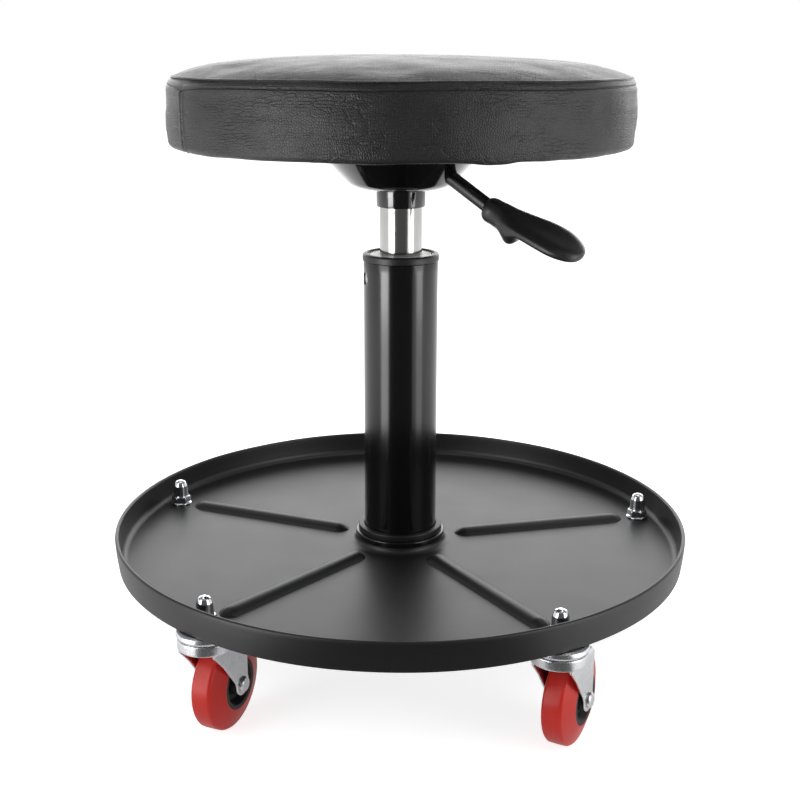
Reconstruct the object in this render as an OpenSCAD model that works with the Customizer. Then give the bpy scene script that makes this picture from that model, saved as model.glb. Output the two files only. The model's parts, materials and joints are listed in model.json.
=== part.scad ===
// Round rolling work seat on a gas lift, with a pressed tool tray and five swivel casters

/* [Seat] */
// Diameter of the padded seat
seat_d = 301; // [260:1:360]
// Height of the upright side of the seat
seat_side_h = 44; // [36:1:60]
// Rise of the crown above the side
crown_h = 11.4; // [5:0.2:20]
// Thickness of the vinyl cover
cover_t = 1.3; // [0.8:0.1:2]
// Depth of the sewn seam below the top of the side
seam_drop = 5.5; // [4:0.5:9]
// Depth and half height of the groove at the seam
seam_groove = 0.6; // [0.3:0.1:0.8]
// How far the side is drawn in at its bottom edge
draw_in = 2.2; // [1:0.1:4]
// Round of the bottom edge
bottom_round = 6; // [3:0.5:9]
// Width of the cover that is folded under the board
hem_w = 24; // [15:1:35]
// Thickness of the plywood board
board_t = 12; // [9:1:16]
// Thickness of the dust cloth under the board
dust_t = 0.6; // [0.4:0.1:1]
// Number of staples in the hem
staple_count = 24; // [12:1:36]
// Length of a staple's crown
staple_l = 10; // [6:1:12]
// Thickness of the staple wire
staple_t = 0.7; // [0.5:0.1:1]

/* [Mechanism] */
// Width of the flange outside its washers
flange_edge = 2.5; // [1.5:0.5:8]
// Thickness of the pressed plate
plate_t = 1.6; // [1.2:0.1:2]
// Depth of the bowl below its flange
bowl_h = 28.6; // [24:0.2:34]
// Radius of the flat floor of the bowl
bowl_floor_r = 23; // [20:0.5:26]
// Radius of the mouth of the bowl
bowl_mouth_r = 56; // [52:0.5:60]
// Width of the flange between the bowl and its washers
flange_start = 2.5; // [1.5:0.5:8]
// Shank diameter of a seat screw
screw_d = 6; // [5:0.5:6]
// Head diameter of a seat screw
screw_head_d = 11; // [9:0.5:12]
// Head height of a seat screw
screw_head_h = 3; // [2:0.5:4]
// Length of a seat screw below its head
screw_len = 14; // [10:1:15]
// Outer diameter of the washer under each screw head
washer_d = 16; // [14:0.5:18]
// Thickness of that washer
washer_t = 1.2; // [0.8:0.1:2]
// Outer diameter of the tapered sleeve that holds the cylinder
sleeve_d = 32.6; // [31:0.2:36]
// Length of the sleeve below the bowl
sleeve_below = 10; // [6:0.5:16]
// Length of the sleeve inside the bowl
sleeve_above = 14; // [12:0.5:15]

/* [Lever] */
// Direction of the lever round the column
lever_az = -30.5; // [-60:0.5:0]
// Downward slope of the lever rod
lever_slope = 30; // [26:0.5:32]
// Diameter of the lever rod
lever_d = 9.4; // [8:0.2:10]
// Length of the rod outside its pivot
lever_out = 46; // [40:1:60]
// Length of the rod inside its pivot
lever_in = 16; // [14:0.5:18]
// Place of the pivot between the sleeve, 0, and the mouth of the bowl, 1
pivot_share = 0.42; // [0.4:0.01:0.45]
// Depth of the pivot below the flange
pivot_drop = 15.6; // [14:0.2:17]
// Diameter of the pivot pin
pivot_d = 4; // [3:0.5:5]
// Downward slope of the grip
grip_slope = 18.5; // [5:0.5:30]
// Length of the grip from the rod to its tip
grip_len = 72.5; // [65:0.5:90]
// Width of the leaf of the grip
grip_w = 34; // [28:1:38]
// Thickness of the leaf of the grip
grip_t = 10; // [8:0.5:12]
// How far the grip is rolled about its length, in degrees
grip_roll = 11; // [0:1:20]
// Diameter of the neck of the grip
grip_neck_d = 12.8; // [12.4:0.2:15]
// Lift of the lever that opens the valve, in degrees
lever_lift = 6; // [4:0.5:8]

/* [Gas lift] */
// Outer diameter of the chrome cylinder
cyl_d = 28; // [26:0.5:29]
// Wall of the chrome cylinder
cyl_wall = 1.5; // [1.2:0.1:2]
// Narrowing of the cylinder's tapered head
taper = 0.6; // [0.3:0.1:1]
// Height that the seat rises
lift_stroke = 120; // [90:5:120]
// Chrome that shows when the seat is down
tube_show = 32.2; // [20:1:60]
// Diameter of the piston rod
rod_d = 10; // [8:0.5:11]
// Diameter of the rod's lower stud
stud_d = 8; // [6:0.5:8]
// Height of the piston
piston_h = 8; // [6:0.5:12]
// Height of the rod guide in the bottom of the cylinder
guide_h = 20; // [14:1:26]
// Height of the rubber bumper
bumper_h = 17.4; // [10:0.5:22]
// Outer diameter of the rubber bumper
bumper_d = 24; // [20:0.5:27]
// Height of the valve block in the head of the cylinder
valve_h = 44; // [30:1:50]
// Diameter of the release pin
pin_d = 4; // [3:0.5:5]
// Height of the release pin above the cylinder
pin_proud = 3.9; // [3.8:0.1:4.4]
// Travel of the release pin at full lever lift
pin_travel = 3.6; // [2.5:0.1:3.6]

/* [Column] */
// Outer diameter of the column
column_d = 50; // [46:0.5:54]
// Wall of the column
column_wall = 1.8; // [1.5:0.1:2.5]
// Length of the column tube
column_len = 232; // [215:1:260]
// Length of the column below the tray floor
column_below = 32.5; // [30:0.5:38]
// Height of the cap ring
cap_h = 5; // [4:0.5:8]
// How far the cap ring stands proud of the column
cap_proud = 0.6; // [0.3:0.1:1.2]
// Width of the cap ring's top
cap_w = 3.2; // [2.5:0.1:4]
// Length of the guide bushing inside the column
bush_len = 74; // [50:1:76]
// Number of slots in the top of the guide bushing
bush_slots = 12; // [6:1:18]
// Diameter of the locking hole near the top of the column
lock_hole_d = 8; // [6:0.5:10]
// Depth of the locking hole below the top of the column
lock_hole_drop = 11.5; // [8:0.5:20]
// Direction of the locking hole round the column
lock_hole_az = 203; // [0:1:360]
// Thickness of the column's base plate
base_plate_t = 3; // [2:0.5:4]
// Diameter of a ball in the thrust bearing
thrust_ball_d = 5; // [4:0.5:5]
// Number of balls in the thrust bearing
thrust_balls_n = 8; // [6:1:9]
// Thickness of a thrust washer
race_t = 1.5; // [1:0.1:2.5]
// Thickness of the retaining clip
clip_t = 1.6; // [1:0.1:2]

/* [Tray] */
// Diameter of the tray at its rim
tray_d = 395.4; // [370:1:430]
// How much smaller the tray is at its bottom edge
tray_draft = 3.4; // [0:0.2:8]
// Depth of the tray from its rim to its floor
tray_depth = 17.6; // [12:0.2:30]
// Thickness of the sheet
sheet_t = 1.3; // [1.1:0.1:1.6]
// How far the hem of the wall reaches below the floor
skirt_drop = 2; // [1.6:0.1:4]
// Radius of the bend between floor and wall
floor_bend = 4.5; // [3:0.5:6]
// Outer radius of the collar round the column
collar_r = 31.2; // [30.8:0.1:33]
// Height of the collar
collar_h = 6; // [4:0.5:8]
// Height of the collar's foot above the tray floor
collar_rise = 4.4; // [4:0.2:8]
// Outer radius of the ring on top of the collar
ring_r = 29.3; // [28.5:0.1:30]
// Height of that ring
ring_h = 2.2; // [1.5:0.1:4]
// Radius of the flange under the tray
socket_flange_r = 48; // [42:1:60]
// Thickness of that flange
socket_flange_t = 3; // [2:0.5:4]
// Height of a pressed rib
rib_h = 4; // [2.5:0.1:5]
// Width of a pressed rib at the floor
rib_w = 15; // [12:0.5:20]
// Gap between the foot of the tray's neck and the inner end of a rib
rib_start_gap = 6.7; // [4:0.1:20]
// Gap between the outer end of a rib and the nut beyond it
rib_end_gap = 6.6; // [3:0.1:20]

/* [Casters] */
// Diameter of a wheel
wheel_d = 61; // [56:0.5:64]
// Width of the flat tread
tread_w = 12; // [9:0.5:15]
// Width of a wheel at its hub
wheel_w = 21.6; // [20:0.2:23]
// Diameter of the black core of a wheel
core_d = 33; // [28:0.5:38]
// Diameter of the boss of a wheel
boss_d = 14; // [12:0.5:18]
// Distance from the swivel axis to the axle
trail = 20; // [18:0.5:21]
// Thickness of the fork's sheet
fork_t = 2; // [1.5:0.1:2.5]
// Gap between the wheel's boss and each leg of the fork
leg_gap = 0.3; // [0.2:0.1:0.6]
// Gap between the top of the wheel and the roof of the fork
roof_gap = 3; // [2.5:0.1:5]
// Diameter of the fork's round cup
cup_d = 35; // [34:0.5:36]
// Height of the fork's round cup
cup_h = 7; // [6:0.2:9]
// Diameter of the swivel's top plate
top_plate_d = 36.5; // [34:0.5:36.5]
// Height of the top plate above the cup
top_plate_h = 5.8; // [4:0.2:7]
// Diameter of the king pin
king_d = 10; // [8:0.5:11]
// Diameter of a ball in the swivel
swivel_ball_d = 4; // [3:0.5:4]
// Number of balls in a swivel
swivel_balls_n = 10; // [6:1:12]
// Diameter of the wheel axle
axle_d = 6; // [5:0.5:7]
// Diameter of the axle's riveted head
rivet_d = 9.6; // [9:0.2:11]
// Height of the axle's riveted head
rivet_h = 2.2; // [1.5:0.1:3]
// Diameter of the caster stem
stem_d = 8; // [6:0.5:9]
// Diameter of the dome nut's flange
nut_flange_d = 15.8; // [14:0.2:17]
// Distance across the flats of the dome nut
nut_af = 12.4; // [12:0.2:14]
// Height of the dome nut
nut_h = 18.3; // [17:0.1:21]
// Diameter of the dome nut's cap
nut_dome_d = 10.6; // [10.4:0.2:12]

/* [Hidden] */
casters = 5;
caster_numbers = [for (i = [1:casters]) i];

$fn = 72;
over = 1;
run_gap = 0.05;
rest_gap = 0.3;
arc_steps = 8;
crown_steps = 14;
few_steps = 4;
hull_fn = 20;

// Heights of the caster, from the floor up
axle_z = wheel_d / 2;
roof_z = wheel_d + roof_gap;
cup_floor_z = roof_z + fork_t;
cup_top_z = roof_z + cup_h;
race_z = cup_floor_z + swivel_ball_d + 2 * run_gap;
plate_skirt_gap = 0.4;
top_plate_z = cup_top_z + plate_skirt_gap;
tray_under_z = top_plate_z + top_plate_h;
king_head_h = 2.6;
king_head_d = king_d + 4 * run_gap + king_head_h;
king_gap = 0.2;

// Heights of the tray and the column
floor_z = tray_under_z + sheet_t;
rim_z = floor_z + tray_depth;
skirt_z = floor_z - skirt_drop;
rim_r = tray_d / 2;
foot_r = rim_r - tray_draft / 2;
hem_gap = 0.2;
wall_bulge_share = 0.7;
collar_z = floor_z + collar_rise;
ring_z = collar_z + collar_h;
column_r = column_d / 2;
column_in_r = column_r - column_wall;
column_z = floor_z - column_below;
column_top_z = column_z + column_len;
cap_top_z = column_top_z + cap_h;
slot_w = 1;
slot_depth = 2.5;
face_drop = 1;
socket_r = collar_r - sheet_t - rest_gap;
socket_z = column_z + base_plate_t;
neck_r = socket_r + sheet_t;
neck_foot_r = neck_r + collar_rise;

// Outer radius of the wall at a height, from its hem up to the fold at its rim
fold_r = sheet_t + hem_gap / 2;
wall_mid_z = (skirt_z + rim_z) / 2;
wall_mid_r = foot_r + (rim_r - foot_r) * wall_bulge_share;
function wall_out(z) =
    lookup(z, [[skirt_z, foot_r], [wall_mid_z, wall_mid_r], [rim_z - fold_r, rim_r]]);

// The nuts stand at the outer edge of the floor, and the ribs reach from the neck's foot to them
bend_z = floor_z + floor_bend;
bend_r = wall_out(bend_z) - 2 * fold_r - floor_bend;
caster_r = bend_r - nut_flange_d / 2 - run_gap;
rib_r0 = neck_foot_r + rib_start_gap;
rib_r1 = caster_r - nut_flange_d / 2 - rib_end_gap;

// Heights of the thrust bearing and the gas lift
race1_z = column_z + base_plate_t;
ball_z = race1_z + race_t + run_gap + thrust_ball_d / 2;
race2_z = ball_z + thrust_ball_d / 2 + run_gap;
shoulder_z = race2_z + race_t;
cyl_z = shoulder_z + bumper_h + rest_gap;
cyl_r = cyl_d / 2;
cyl_in_r = cyl_r - cyl_wall;
piston_gap = 0.5;
piston_z = cyl_z + guide_h + lift_stroke + piston_gap;
stud_r = stud_d / 2;
piston_stud_share = 0.9;
piston_stud_r = stud_r * piston_stud_share;
piston_stud_h = 2;
clip_gap = 0.2;
clip_z = column_z - clip_gap - clip_t;
stud_end = 4;
groove_share = 0.75;
groove_r = stud_r * groove_share;
clip_share = 1.7;
race_r = 13;
race_pitch_r = 9.6;
cage_share = 0.45;
cage_gap = 1;
sleeve_z = cap_top_z + tube_show;
bowl_z = sleeve_z + sleeve_below;
sleeve_top_z = bowl_z + sleeve_above;
cyl_top_z = sleeve_top_z + sleeve_above / 8;
valve_z = cyl_top_z - valve_h;
pin_top_z = cyl_top_z + pin_proud;
pin_short = 1;
pin_len = valve_h + pin_proud - pin_short;

// Distances of the seat screws and the lever's pivot from the column axis
screw_r = bowl_mouth_r + flange_start + washer_d / 2;
screw_pitch = sqrt(2) * screw_r;
flange_r = screw_r + washer_d / 2 + flange_edge;
pivot_r = sleeve_d / 2 + pivot_share * (bowl_mouth_r - sleeve_d / 2);

// Heights of the seat
flange_z = bowl_z + bowl_h;
board_z = flange_z + plate_t + dust_t;
seat_z = board_z - cover_t;
side_top_z = seat_z + seat_side_h;
crown_z = side_top_z + crown_h;
seat_r = seat_d / 2;
board_r = seat_r - draw_in - bottom_round - rest_gap;
foam_z = board_z + board_t;
seam_z = side_top_z - seam_drop;
insert_wall = 2;
insert_r = screw_d / 2 + insert_wall;
insert_flange_w = 5;
insert_flange_r = insert_r + insert_flange_w;
insert_flange_t = 1;

// The lever and its pivot
pivot_z = flange_z - pivot_drop;
tongue_t = 3;
tongue_w = 8;
rod_hole_gap = 1.1;
ear_t = 2;
ear_gap = rod_hole_gap + 2 * run_gap;
ear_w = 10;
ear_side = lever_d / 2 + ear_gap + ear_t / 2;
grip_overlap = 6.5;
neck_end_share = 1.5;
neck_ball_share = 0.96;
shoulder_share = 0.33;
swell_at_share = 0.4;
swell_share = 1.1;

// The dome nut
nut_flange_t = 1.5;
nut_hex_h = 4.6;
nut_wall = 1.6;

// Directions in which the casters stand and trail
caster_az = [for (i = [0:casters - 1]) 90 + 360 / casters * i];
trail_az = [-112, 24, 71.7, 65.8, 158];

// Points of an arc from angle a0 to angle a1
function arc(cx, cy, r, a0, a1, n = arc_steps) =
    [for (i = [0:n]) let (a = a0 + (a1 - a0) * i / n) [cx + r * cos(a), cy + r * sin(a)]];

// Height of the crown at a distance from the axis, as a share of its rise
function crown_share(d_share) = sqrt(max(0, 1 - d_share * d_share));

// Outline of the bowl in shares of its height and of its reach from floor to mouth
bowl_shares = [[0, 0], [0.2, 0.05], [0.32, 0.12], [0.44, 0.25], [0.55, 0.38], [0.69, 0.55],
               [0.83, 0.73], [0.95, 0.93], [1, 1]];
function bowl_side(inset) =
    [for (s = bowl_shares) [bowl_floor_r + s[0] * (bowl_mouth_r - bowl_floor_r) - inset,
                            bowl_z + s[1] * bowl_h + inset]];

// Height of the middle of the bowl's wall at a distance from the column axis
function bowl_mid_z(r) = lookup(r, bowl_side(plate_t / 2));

module at_casters() {
    for (i = [0:casters - 1]) rotate([0, 0, caster_az[i]]) translate([caster_r, 0, 0]) children();
}

// Places a child, drawn with its swivel at the origin and its trail along +X, at caster i
module at_caster(i) {
    translate([caster_r * cos(caster_az[i - 1]), caster_r * sin(caster_az[i - 1]), 0])
        rotate([0, 0, trail_az[i - 1]]) children();
}

// Turns a child from the lever's own frame, where the pivot is the origin and +X points outwards
module at_lever() {
    rotate([0, 0, lever_az]) translate([pivot_r, 0, pivot_z]) children();
}

// Outline of the cushion, drawn in by an inset
module cushion_outline(inset) {
    r = seat_r - inset;
    low = seat_z + inset;
    foot_round = bottom_round - inset;
    polygon(concat(
        [[0, low], [r - draw_in - foot_round, low]],
        arc(r - draw_in - foot_round, low + foot_round, foot_round, -90, 0),
        [[r - draw_in / 4, (seat_z + seam_z) / 2 - bottom_round],
         [r, (seat_z + seam_z) / 2 + bottom_round],
         [r - draw_in / 8, seam_z - seam_groove],
         [r - draw_in / 8 - seam_groove, seam_z],
         [r - draw_in / 8, seam_z + seam_groove]],
        [for (i = [0:crown_steps]) let (a = 90 * i / crown_steps)
            [(r - draw_in / 8) * cos(a), side_top_z - inset + crown_h * crown_share(cos(a))]]));
}

module seat_cover() {
    color("#2b2b2d") difference() {
        rotate_extrude() cushion_outline(0);
        rotate_extrude() intersection() {
            cushion_outline(cover_t);
            translate([0, board_z]) square([seat_d, crown_z]);
        }
        translate([0, 0, seat_z - over])
            cylinder(r = board_r - hem_w, h = cover_t + 2 * over);
    }
}

module seat_foam() {
    color("#d9cf9a") difference() {
        rotate_extrude() cushion_outline(cover_t + run_gap);
        translate([0, 0, seat_z]) cylinder(r = board_r + run_gap, h = foam_z - seat_z);
    }
}

module screw_places() {
    for (x = [-1, 1], y = [-1, 1]) translate([x * screw_pitch / 2, y * screw_pitch / 2, 0]) children();
}

module seat_board() {
    color("#b98a55") difference() {
        translate([0, 0, board_z]) cylinder(r = board_r, h = board_t);
        screw_places() translate([0, 0, board_z - over]) cylinder(r = insert_r, h = board_t + 2 * over);
        screw_places() translate([0, 0, foam_z - insert_flange_t])
            cylinder(r = insert_flange_r, h = insert_flange_t + over);
    }
}

module insert_nuts() {
    color("silver") screw_places() difference() {
        union() {
            translate([0, 0, board_z]) cylinder(r = insert_r, h = board_t);
            translate([0, 0, foam_z - insert_flange_t]) cylinder(r = insert_flange_r, h = insert_flange_t);
        }
        translate([0, 0, board_z - over]) cylinder(d = screw_d, h = board_t + 2 * over);
    }
}

module dust_cloth() {
    color("#1c1c1e") difference() {
        translate([0, 0, board_z - dust_t]) cylinder(r = board_r - hem_w - dust_t, h = dust_t);
        screw_places() translate([0, 0, board_z - dust_t - over])
            cylinder(r = screw_d / 2, h = dust_t + 2 * over);
    }
}

module hem_staples() {
    color("silver") for (i = [0:staple_count - 1]) rotate([0, 0, 360 / staple_count * (i + 1 / 2)])
        translate([board_r - hem_w / 2, -staple_l / 2, seat_z - staple_t])
            cube([staple_t, staple_l, staple_t]);
}

module seat_screws() {
    color("silver") screw_places() {
        translate([0, 0, flange_z - washer_t]) cylinder(d = screw_d, h = screw_len);
        translate([0, 0, flange_z - washer_t - screw_head_h]) cylinder(d = screw_head_d, h = screw_head_h);
    }
}

module screw_washers() {
    color("silver") screw_places() translate([0, 0, flange_z - washer_t]) difference() {
        cylinder(d = washer_d, h = washer_t);
        translate([0, 0, -over]) cylinder(d = screw_d, h = washer_t + 2 * over);
    }
}

// Hole in the wall of the bowl, wide enough for the rod as the lever lifts
module rod_hole() {
    rotate([0, 90 + lever_slope - lever_lift / 2, 0]) cylinder(r = lever_d / 2 + rod_hole_gap, h = lever_out);
}

module mechanism_plate() {
    color("#101012") difference() {
        union() {
            rotate_extrude() polygon(concat(
                [[sleeve_d / 2, bowl_z], [bowl_floor_r, bowl_z]], bowl_side(0),
                [[flange_r, flange_z], [flange_r, flange_z + plate_t]],
                [[bowl_mouth_r - plate_t, flange_z + plate_t]],
                [for (i = [len(bowl_shares) - 1:-1:0]) bowl_side(plate_t)[i]],
                [[sleeve_d / 2, bowl_z + plate_t]]));
            at_lever() for (side = [-1, 1]) translate([0, side * ear_side, 0]) ear();
        }
        at_lever() rod_hole();
        screw_places() translate([0, 0, flange_z - over]) cylinder(d = screw_d, h = plate_t + 2 * over);
    }
}

// One ear that carries the lever's pivot pin, its foot in the wall of the bowl
module ear() {
    difference() {
        rotate([90, 0, 0]) linear_extrude(ear_t, center = true) polygon(concat(
            [[ear_w / 2, pivot_d], [-ear_w / 2, pivot_d]],
            [for (i = [0:few_steps]) let (x = ear_w * (i / few_steps - 1 / 2))
                [x, bowl_mid_z(norm([pivot_r + x, ear_side])) - pivot_z]]));
        rotate([90, 0, 0]) cylinder(d = pivot_d, h = ear_t + 2 * over, center = true);
    }
}

module lever_pivot_pin() {
    pin_w = lever_d + 2 * ear_gap + 2 * ear_t;
    color("silver") at_lever() translate([0, -pin_w / 2, 0]) rotate([-90, 0, 0])
        cylinder(d = pivot_d, h = pin_w);
}

module lever_rod() {
    tongue_z = pin_top_z + rest_gap - pivot_z;
    reach = pivot_r + pin_d;
    color("#151517") at_lever() difference() {
        union() {
            rotate([0, 90 + lever_slope, 0]) translate([0, 0, -lever_in])
                cylinder(d = lever_d, h = lever_in + lever_out);
            translate([-reach, -tongue_w / 2, tongue_z])
                cube([reach - lever_in * cos(lever_slope) + lever_d / 2, tongue_w, tongue_t]);
        }
        rotate([90, 0, 0]) cylinder(d = pivot_d + 2 * run_gap, h = 2 * lever_d, center = true);
    }
}

// The grip, in a frame with its start at the origin, its length along +X and its broad face up
module grip_form() {
    end_r = grip_w / 2;
    half_t = grip_t / 2;
    neck_l = grip_neck_d;
    hull() {
        rotate([0, 90, 0]) cylinder(d = grip_neck_d, h = neck_l, $fn = hull_fn);
        translate([neck_l * neck_end_share, 0, 0]) sphere(d = grip_neck_d, $fn = hull_fn);
    }
    hull() {
        translate([neck_l, 0, 0]) sphere(d = grip_neck_d * neck_ball_share, $fn = hull_fn);
        for (side = [-1, 1]) translate([grip_len * shoulder_share, side * (end_r - half_t), 0])
            sphere(r = half_t, $fn = hull_fn);
        translate([grip_len * swell_at_share, 0, 0]) sphere(r = half_t * swell_share, $fn = hull_fn);
    }
    hull() {
        for (side = [-1, 1]) translate([grip_len * shoulder_share, side * (end_r - half_t), 0])
            sphere(r = half_t, $fn = hull_fn);
        translate([grip_len - end_r, 0, 0]) rotate_extrude($fn = hull_fn)
            translate([end_r - half_t, 0]) circle(r = half_t, $fn = hull_fn);
    }
}

module lever_grip() {
    rod_end_x = lever_out * cos(lever_slope);
    rod_end_z = -lever_out * sin(lever_slope);
    color("#1b1b1d") at_lever() difference() {
        translate([rod_end_x - grip_overlap * cos(lever_slope), 0,
                   rod_end_z + grip_overlap * sin(lever_slope)])
            rotate([0, grip_slope, 0]) rotate([grip_roll, 0, 0]) grip_form();
        rotate([0, 90 + lever_slope, 0]) cylinder(d = lever_d, h = lever_out);
    }
}

module taper_sleeve() {
    color("#121214") difference() {
        translate([0, 0, sleeve_z]) cylinder(d = sleeve_d, h = sleeve_top_z - sleeve_z);
        cylinder_form();
    }
}

// Outside of the gas cylinder, straight below the sleeve and tapered inside it
module cylinder_form() {
    translate([0, 0, cyl_z]) cylinder(r = cyl_r, h = sleeve_z - cyl_z);
    translate([0, 0, sleeve_z]) cylinder(r1 = cyl_r, r2 = cyl_r - taper, h = cyl_top_z - sleeve_z);
}

module gas_cylinder() {
    color("#d8dade") difference() {
        cylinder_form();
        translate([0, 0, cyl_z - over]) cylinder(r = cyl_in_r, h = cyl_top_z - cyl_z + 2 * over);
    }
}

module rod_guide() {
    color("#c9c2a8") translate([0, 0, cyl_z]) difference() {
        cylinder(r = cyl_in_r, h = guide_h);
        translate([0, 0, -over]) cylinder(r = rod_d / 2 + run_gap, h = guide_h + 2 * over);
    }
}

module valve_block() {
    color("#b89a4a") translate([0, 0, valve_z]) difference() {
        cylinder(r = cyl_in_r, h = valve_h);
        translate([0, 0, -over]) cylinder(r = pin_d / 2 + run_gap, h = valve_h + 2 * over);
    }
}

module release_pin() {
    color("silver") translate([0, 0, pin_top_z - pin_len]) {
        cylinder(d = pin_d, h = pin_len - pin_d / 2);
        translate([0, 0, pin_len - pin_d / 2]) sphere(d = pin_d);
    }
}

module piston_rod() {
    color("#c4c6ca") difference() {
        union() {
            translate([0, 0, column_z - stud_end - clip_t])
                cylinder(r = stud_r, h = shoulder_z - column_z + stud_end + clip_t);
            translate([0, 0, shoulder_z]) cylinder(d = rod_d, h = piston_z - shoulder_z);
            translate([0, 0, piston_z]) cylinder(r = piston_stud_r, h = piston_h + piston_stud_h);
        }
        translate([0, 0, clip_z]) difference() {
            cylinder(d = rod_d, h = clip_t);
            cylinder(r = groove_r, h = clip_t);
        }
    }
}

module piston() {
    color("#8d8f93") translate([0, 0, piston_z]) difference() {
        cylinder(r = cyl_in_r - 2 * run_gap, h = piston_h);
        translate([0, 0, -over]) cylinder(r = piston_stud_r, h = piston_h + 2 * over);
    }
}

module ring_at(z, r_in, r_out, h) {
    translate([0, 0, z]) difference() {
        cylinder(r = r_out, h = h);
        translate([0, 0, -over]) cylinder(r = r_in, h = h + 2 * over);
    }
}

module rubber_bumper() {
    color("#222222") ring_at(shoulder_z, rod_d / 2 + run_gap, bumper_d / 2, bumper_h);
}

module thrust_washer_upper() {
    color("silver") ring_at(race2_z, stud_r + run_gap, race_r, race_t);
}

module thrust_washer_lower() {
    color("silver") ring_at(race1_z, stud_r + 2 * run_gap, race_r, race_t);
}

module thrust_places() {
    for (i = [0:thrust_balls_n - 1]) rotate([0, 0, 360 / thrust_balls_n * i])
        translate([race_pitch_r, 0, 0]) children();
}

module thrust_balls() {
    color("silver") thrust_places() translate([0, 0, ball_z]) sphere(d = thrust_ball_d);
}

module ball_cage() {
    cage_h = thrust_ball_d * cage_share;
    color("#a08a3c") difference() {
        ring_at(ball_z - cage_h / 2, stud_r + cage_gap, race_r, cage_h);
        thrust_places() translate([0, 0, ball_z - cage_h])
            cylinder(r = thrust_ball_d / 2 + run_gap, h = 2 * cage_h);
    }
}

module retaining_clip() {
    color("#55585c") translate([0, 0, clip_z]) difference() {
        cylinder(d = rod_d * clip_share, h = clip_t);
        translate([0, 0, -over]) cylinder(r = groove_r, h = clip_t + 2 * over);
        translate([0, -groove_r, -over]) cube([rod_d, 2 * groove_r, clip_t + 2 * over]);
    }
}

// Turns a child that points along +X to the locking hole
module at_lock_hole() {
    rotate([0, 0, lock_hole_az]) translate([0, 0, column_top_z - lock_hole_drop]) rotate([0, 90, 0])
        children();
}

module column_tube() {
    color("#141416") difference() {
        translate([0, 0, column_z]) cylinder(r = column_r, h = column_len);
        translate([0, 0, column_z + base_plate_t]) cylinder(r = column_in_r, h = column_len);
        translate([0, 0, column_z - over]) cylinder(r = stud_r + 2 * run_gap, h = base_plate_t + 2 * over);
        at_lock_hole() cylinder(d = lock_hole_d, h = column_d);
    }
}

module column_cap() {
    outer = column_r + cap_proud;
    lip = cap_h / 4;
    color("#1a1a1c") rotate_extrude() polygon(concat(
        [[outer - cap_w, column_top_z], [outer, column_top_z]],
        arc(outer - lip, cap_top_z - lip, lip, 0, 90),
        [[outer - cap_w, cap_top_z]]));
}

module guide_bushing() {
    top_r = column_r + cap_proud - cap_w;
    slot_r = top_r - 2 * slot_w;
    face_z = cap_top_z - face_drop;
    bridge_w = 2 * slot_w;
    color("#e6e6e2") difference() {
        union() {
            translate([0, 0, column_top_z - bush_len]) cylinder(r = column_in_r, h = bush_len);
            translate([0, 0, column_top_z]) cylinder(r = top_r, h = face_z - column_top_z);
            intersection() {
                at_lock_hole() cylinder(d = lock_hole_d - 4 * run_gap, h = column_d);
                translate([0, 0, column_z]) cylinder(r = column_r - slot_w, h = column_len);
            }
        }
        translate([0, 0, column_z]) cylinder(r = cyl_r + run_gap, h = column_len + column_d);
        difference() {
            ring_at(face_z - slot_depth, slot_r, slot_r + slot_w, slot_depth + over);
            for (i = [0:bush_slots - 1]) rotate([0, 0, 360 / bush_slots * i])
                translate([0, -bridge_w / 2, face_z - slot_depth - over])
                    cube([column_r, bridge_w, slot_depth + 3 * over]);
        }
    }
}

module column_ring() {
    lip = ring_h / 3;
    color("#161618") rotate_extrude() polygon(concat(
        [[column_r, ring_z], [ring_r, ring_z]],
        arc(ring_r - lip, ring_z + ring_h - lip, lip, 0, 90),
        [[column_r, ring_z + ring_h]]));
}

module column_socket() {
    lip = collar_h / 4;
    color("#141416") rotate_extrude() polygon(concat(
        [[column_r, socket_z], [socket_r, socket_z], [socket_r, tray_under_z - socket_flange_t],
         [socket_flange_r, tray_under_z - socket_flange_t], [socket_flange_r, tray_under_z],
         [socket_r, tray_under_z], [socket_r, collar_z]],
        arc(collar_r - lip, collar_z + lip, lip, -90, 0, few_steps),
        arc(collar_r - lip, ring_z - lip, lip, 0, 90, few_steps),
        [[column_r, ring_z]]));
}

rib_round_r = (rib_w * rib_w / 4 + rib_h * rib_h) / (2 * rib_h);

// One pressed rib as a lying round bar with round ends, reduced by an inset
module rib_bar(inset) {
    r = rib_round_r - inset;
    end = rib_w / 2;
    translate([rib_r0 + end, 0, floor_z + rib_h - rib_round_r]) {
        rotate([0, 90, 0]) cylinder(r = r, h = rib_r1 - rib_r0 - rib_w);
        sphere(r = r);
        translate([rib_r1 - rib_r0 - rib_w, 0, 0]) sphere(r = r);
    }
}

// Section of the pressed pan: floor, bend, wall, fold at the rim and hem outside the wall
module tray_section() {
    polygon(concat(
        [[socket_r, tray_under_z], [bend_r, tray_under_z]],
        arc(bend_r, bend_z, floor_bend + sheet_t, -90, 0),
        [for (z = [wall_mid_z, rim_z - fold_r]) [wall_out(z) - 2 * fold_r + sheet_t, z]],
        [for (z = [rim_z - fold_r, wall_mid_z, skirt_z]) [wall_out(z) - sheet_t, z]],
        [for (z = [skirt_z, wall_mid_z]) [wall_out(z), z]],
        arc(rim_r - fold_r, rim_z - fold_r, fold_r, 0, 180),
        [[wall_out(wall_mid_z) - 2 * fold_r, wall_mid_z]],
        arc(bend_r, bend_z, floor_bend, 0, -90),
        arc(neck_foot_r, collar_z, collar_rise, -90, -180),
        [[socket_r, collar_z]]));
}

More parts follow.
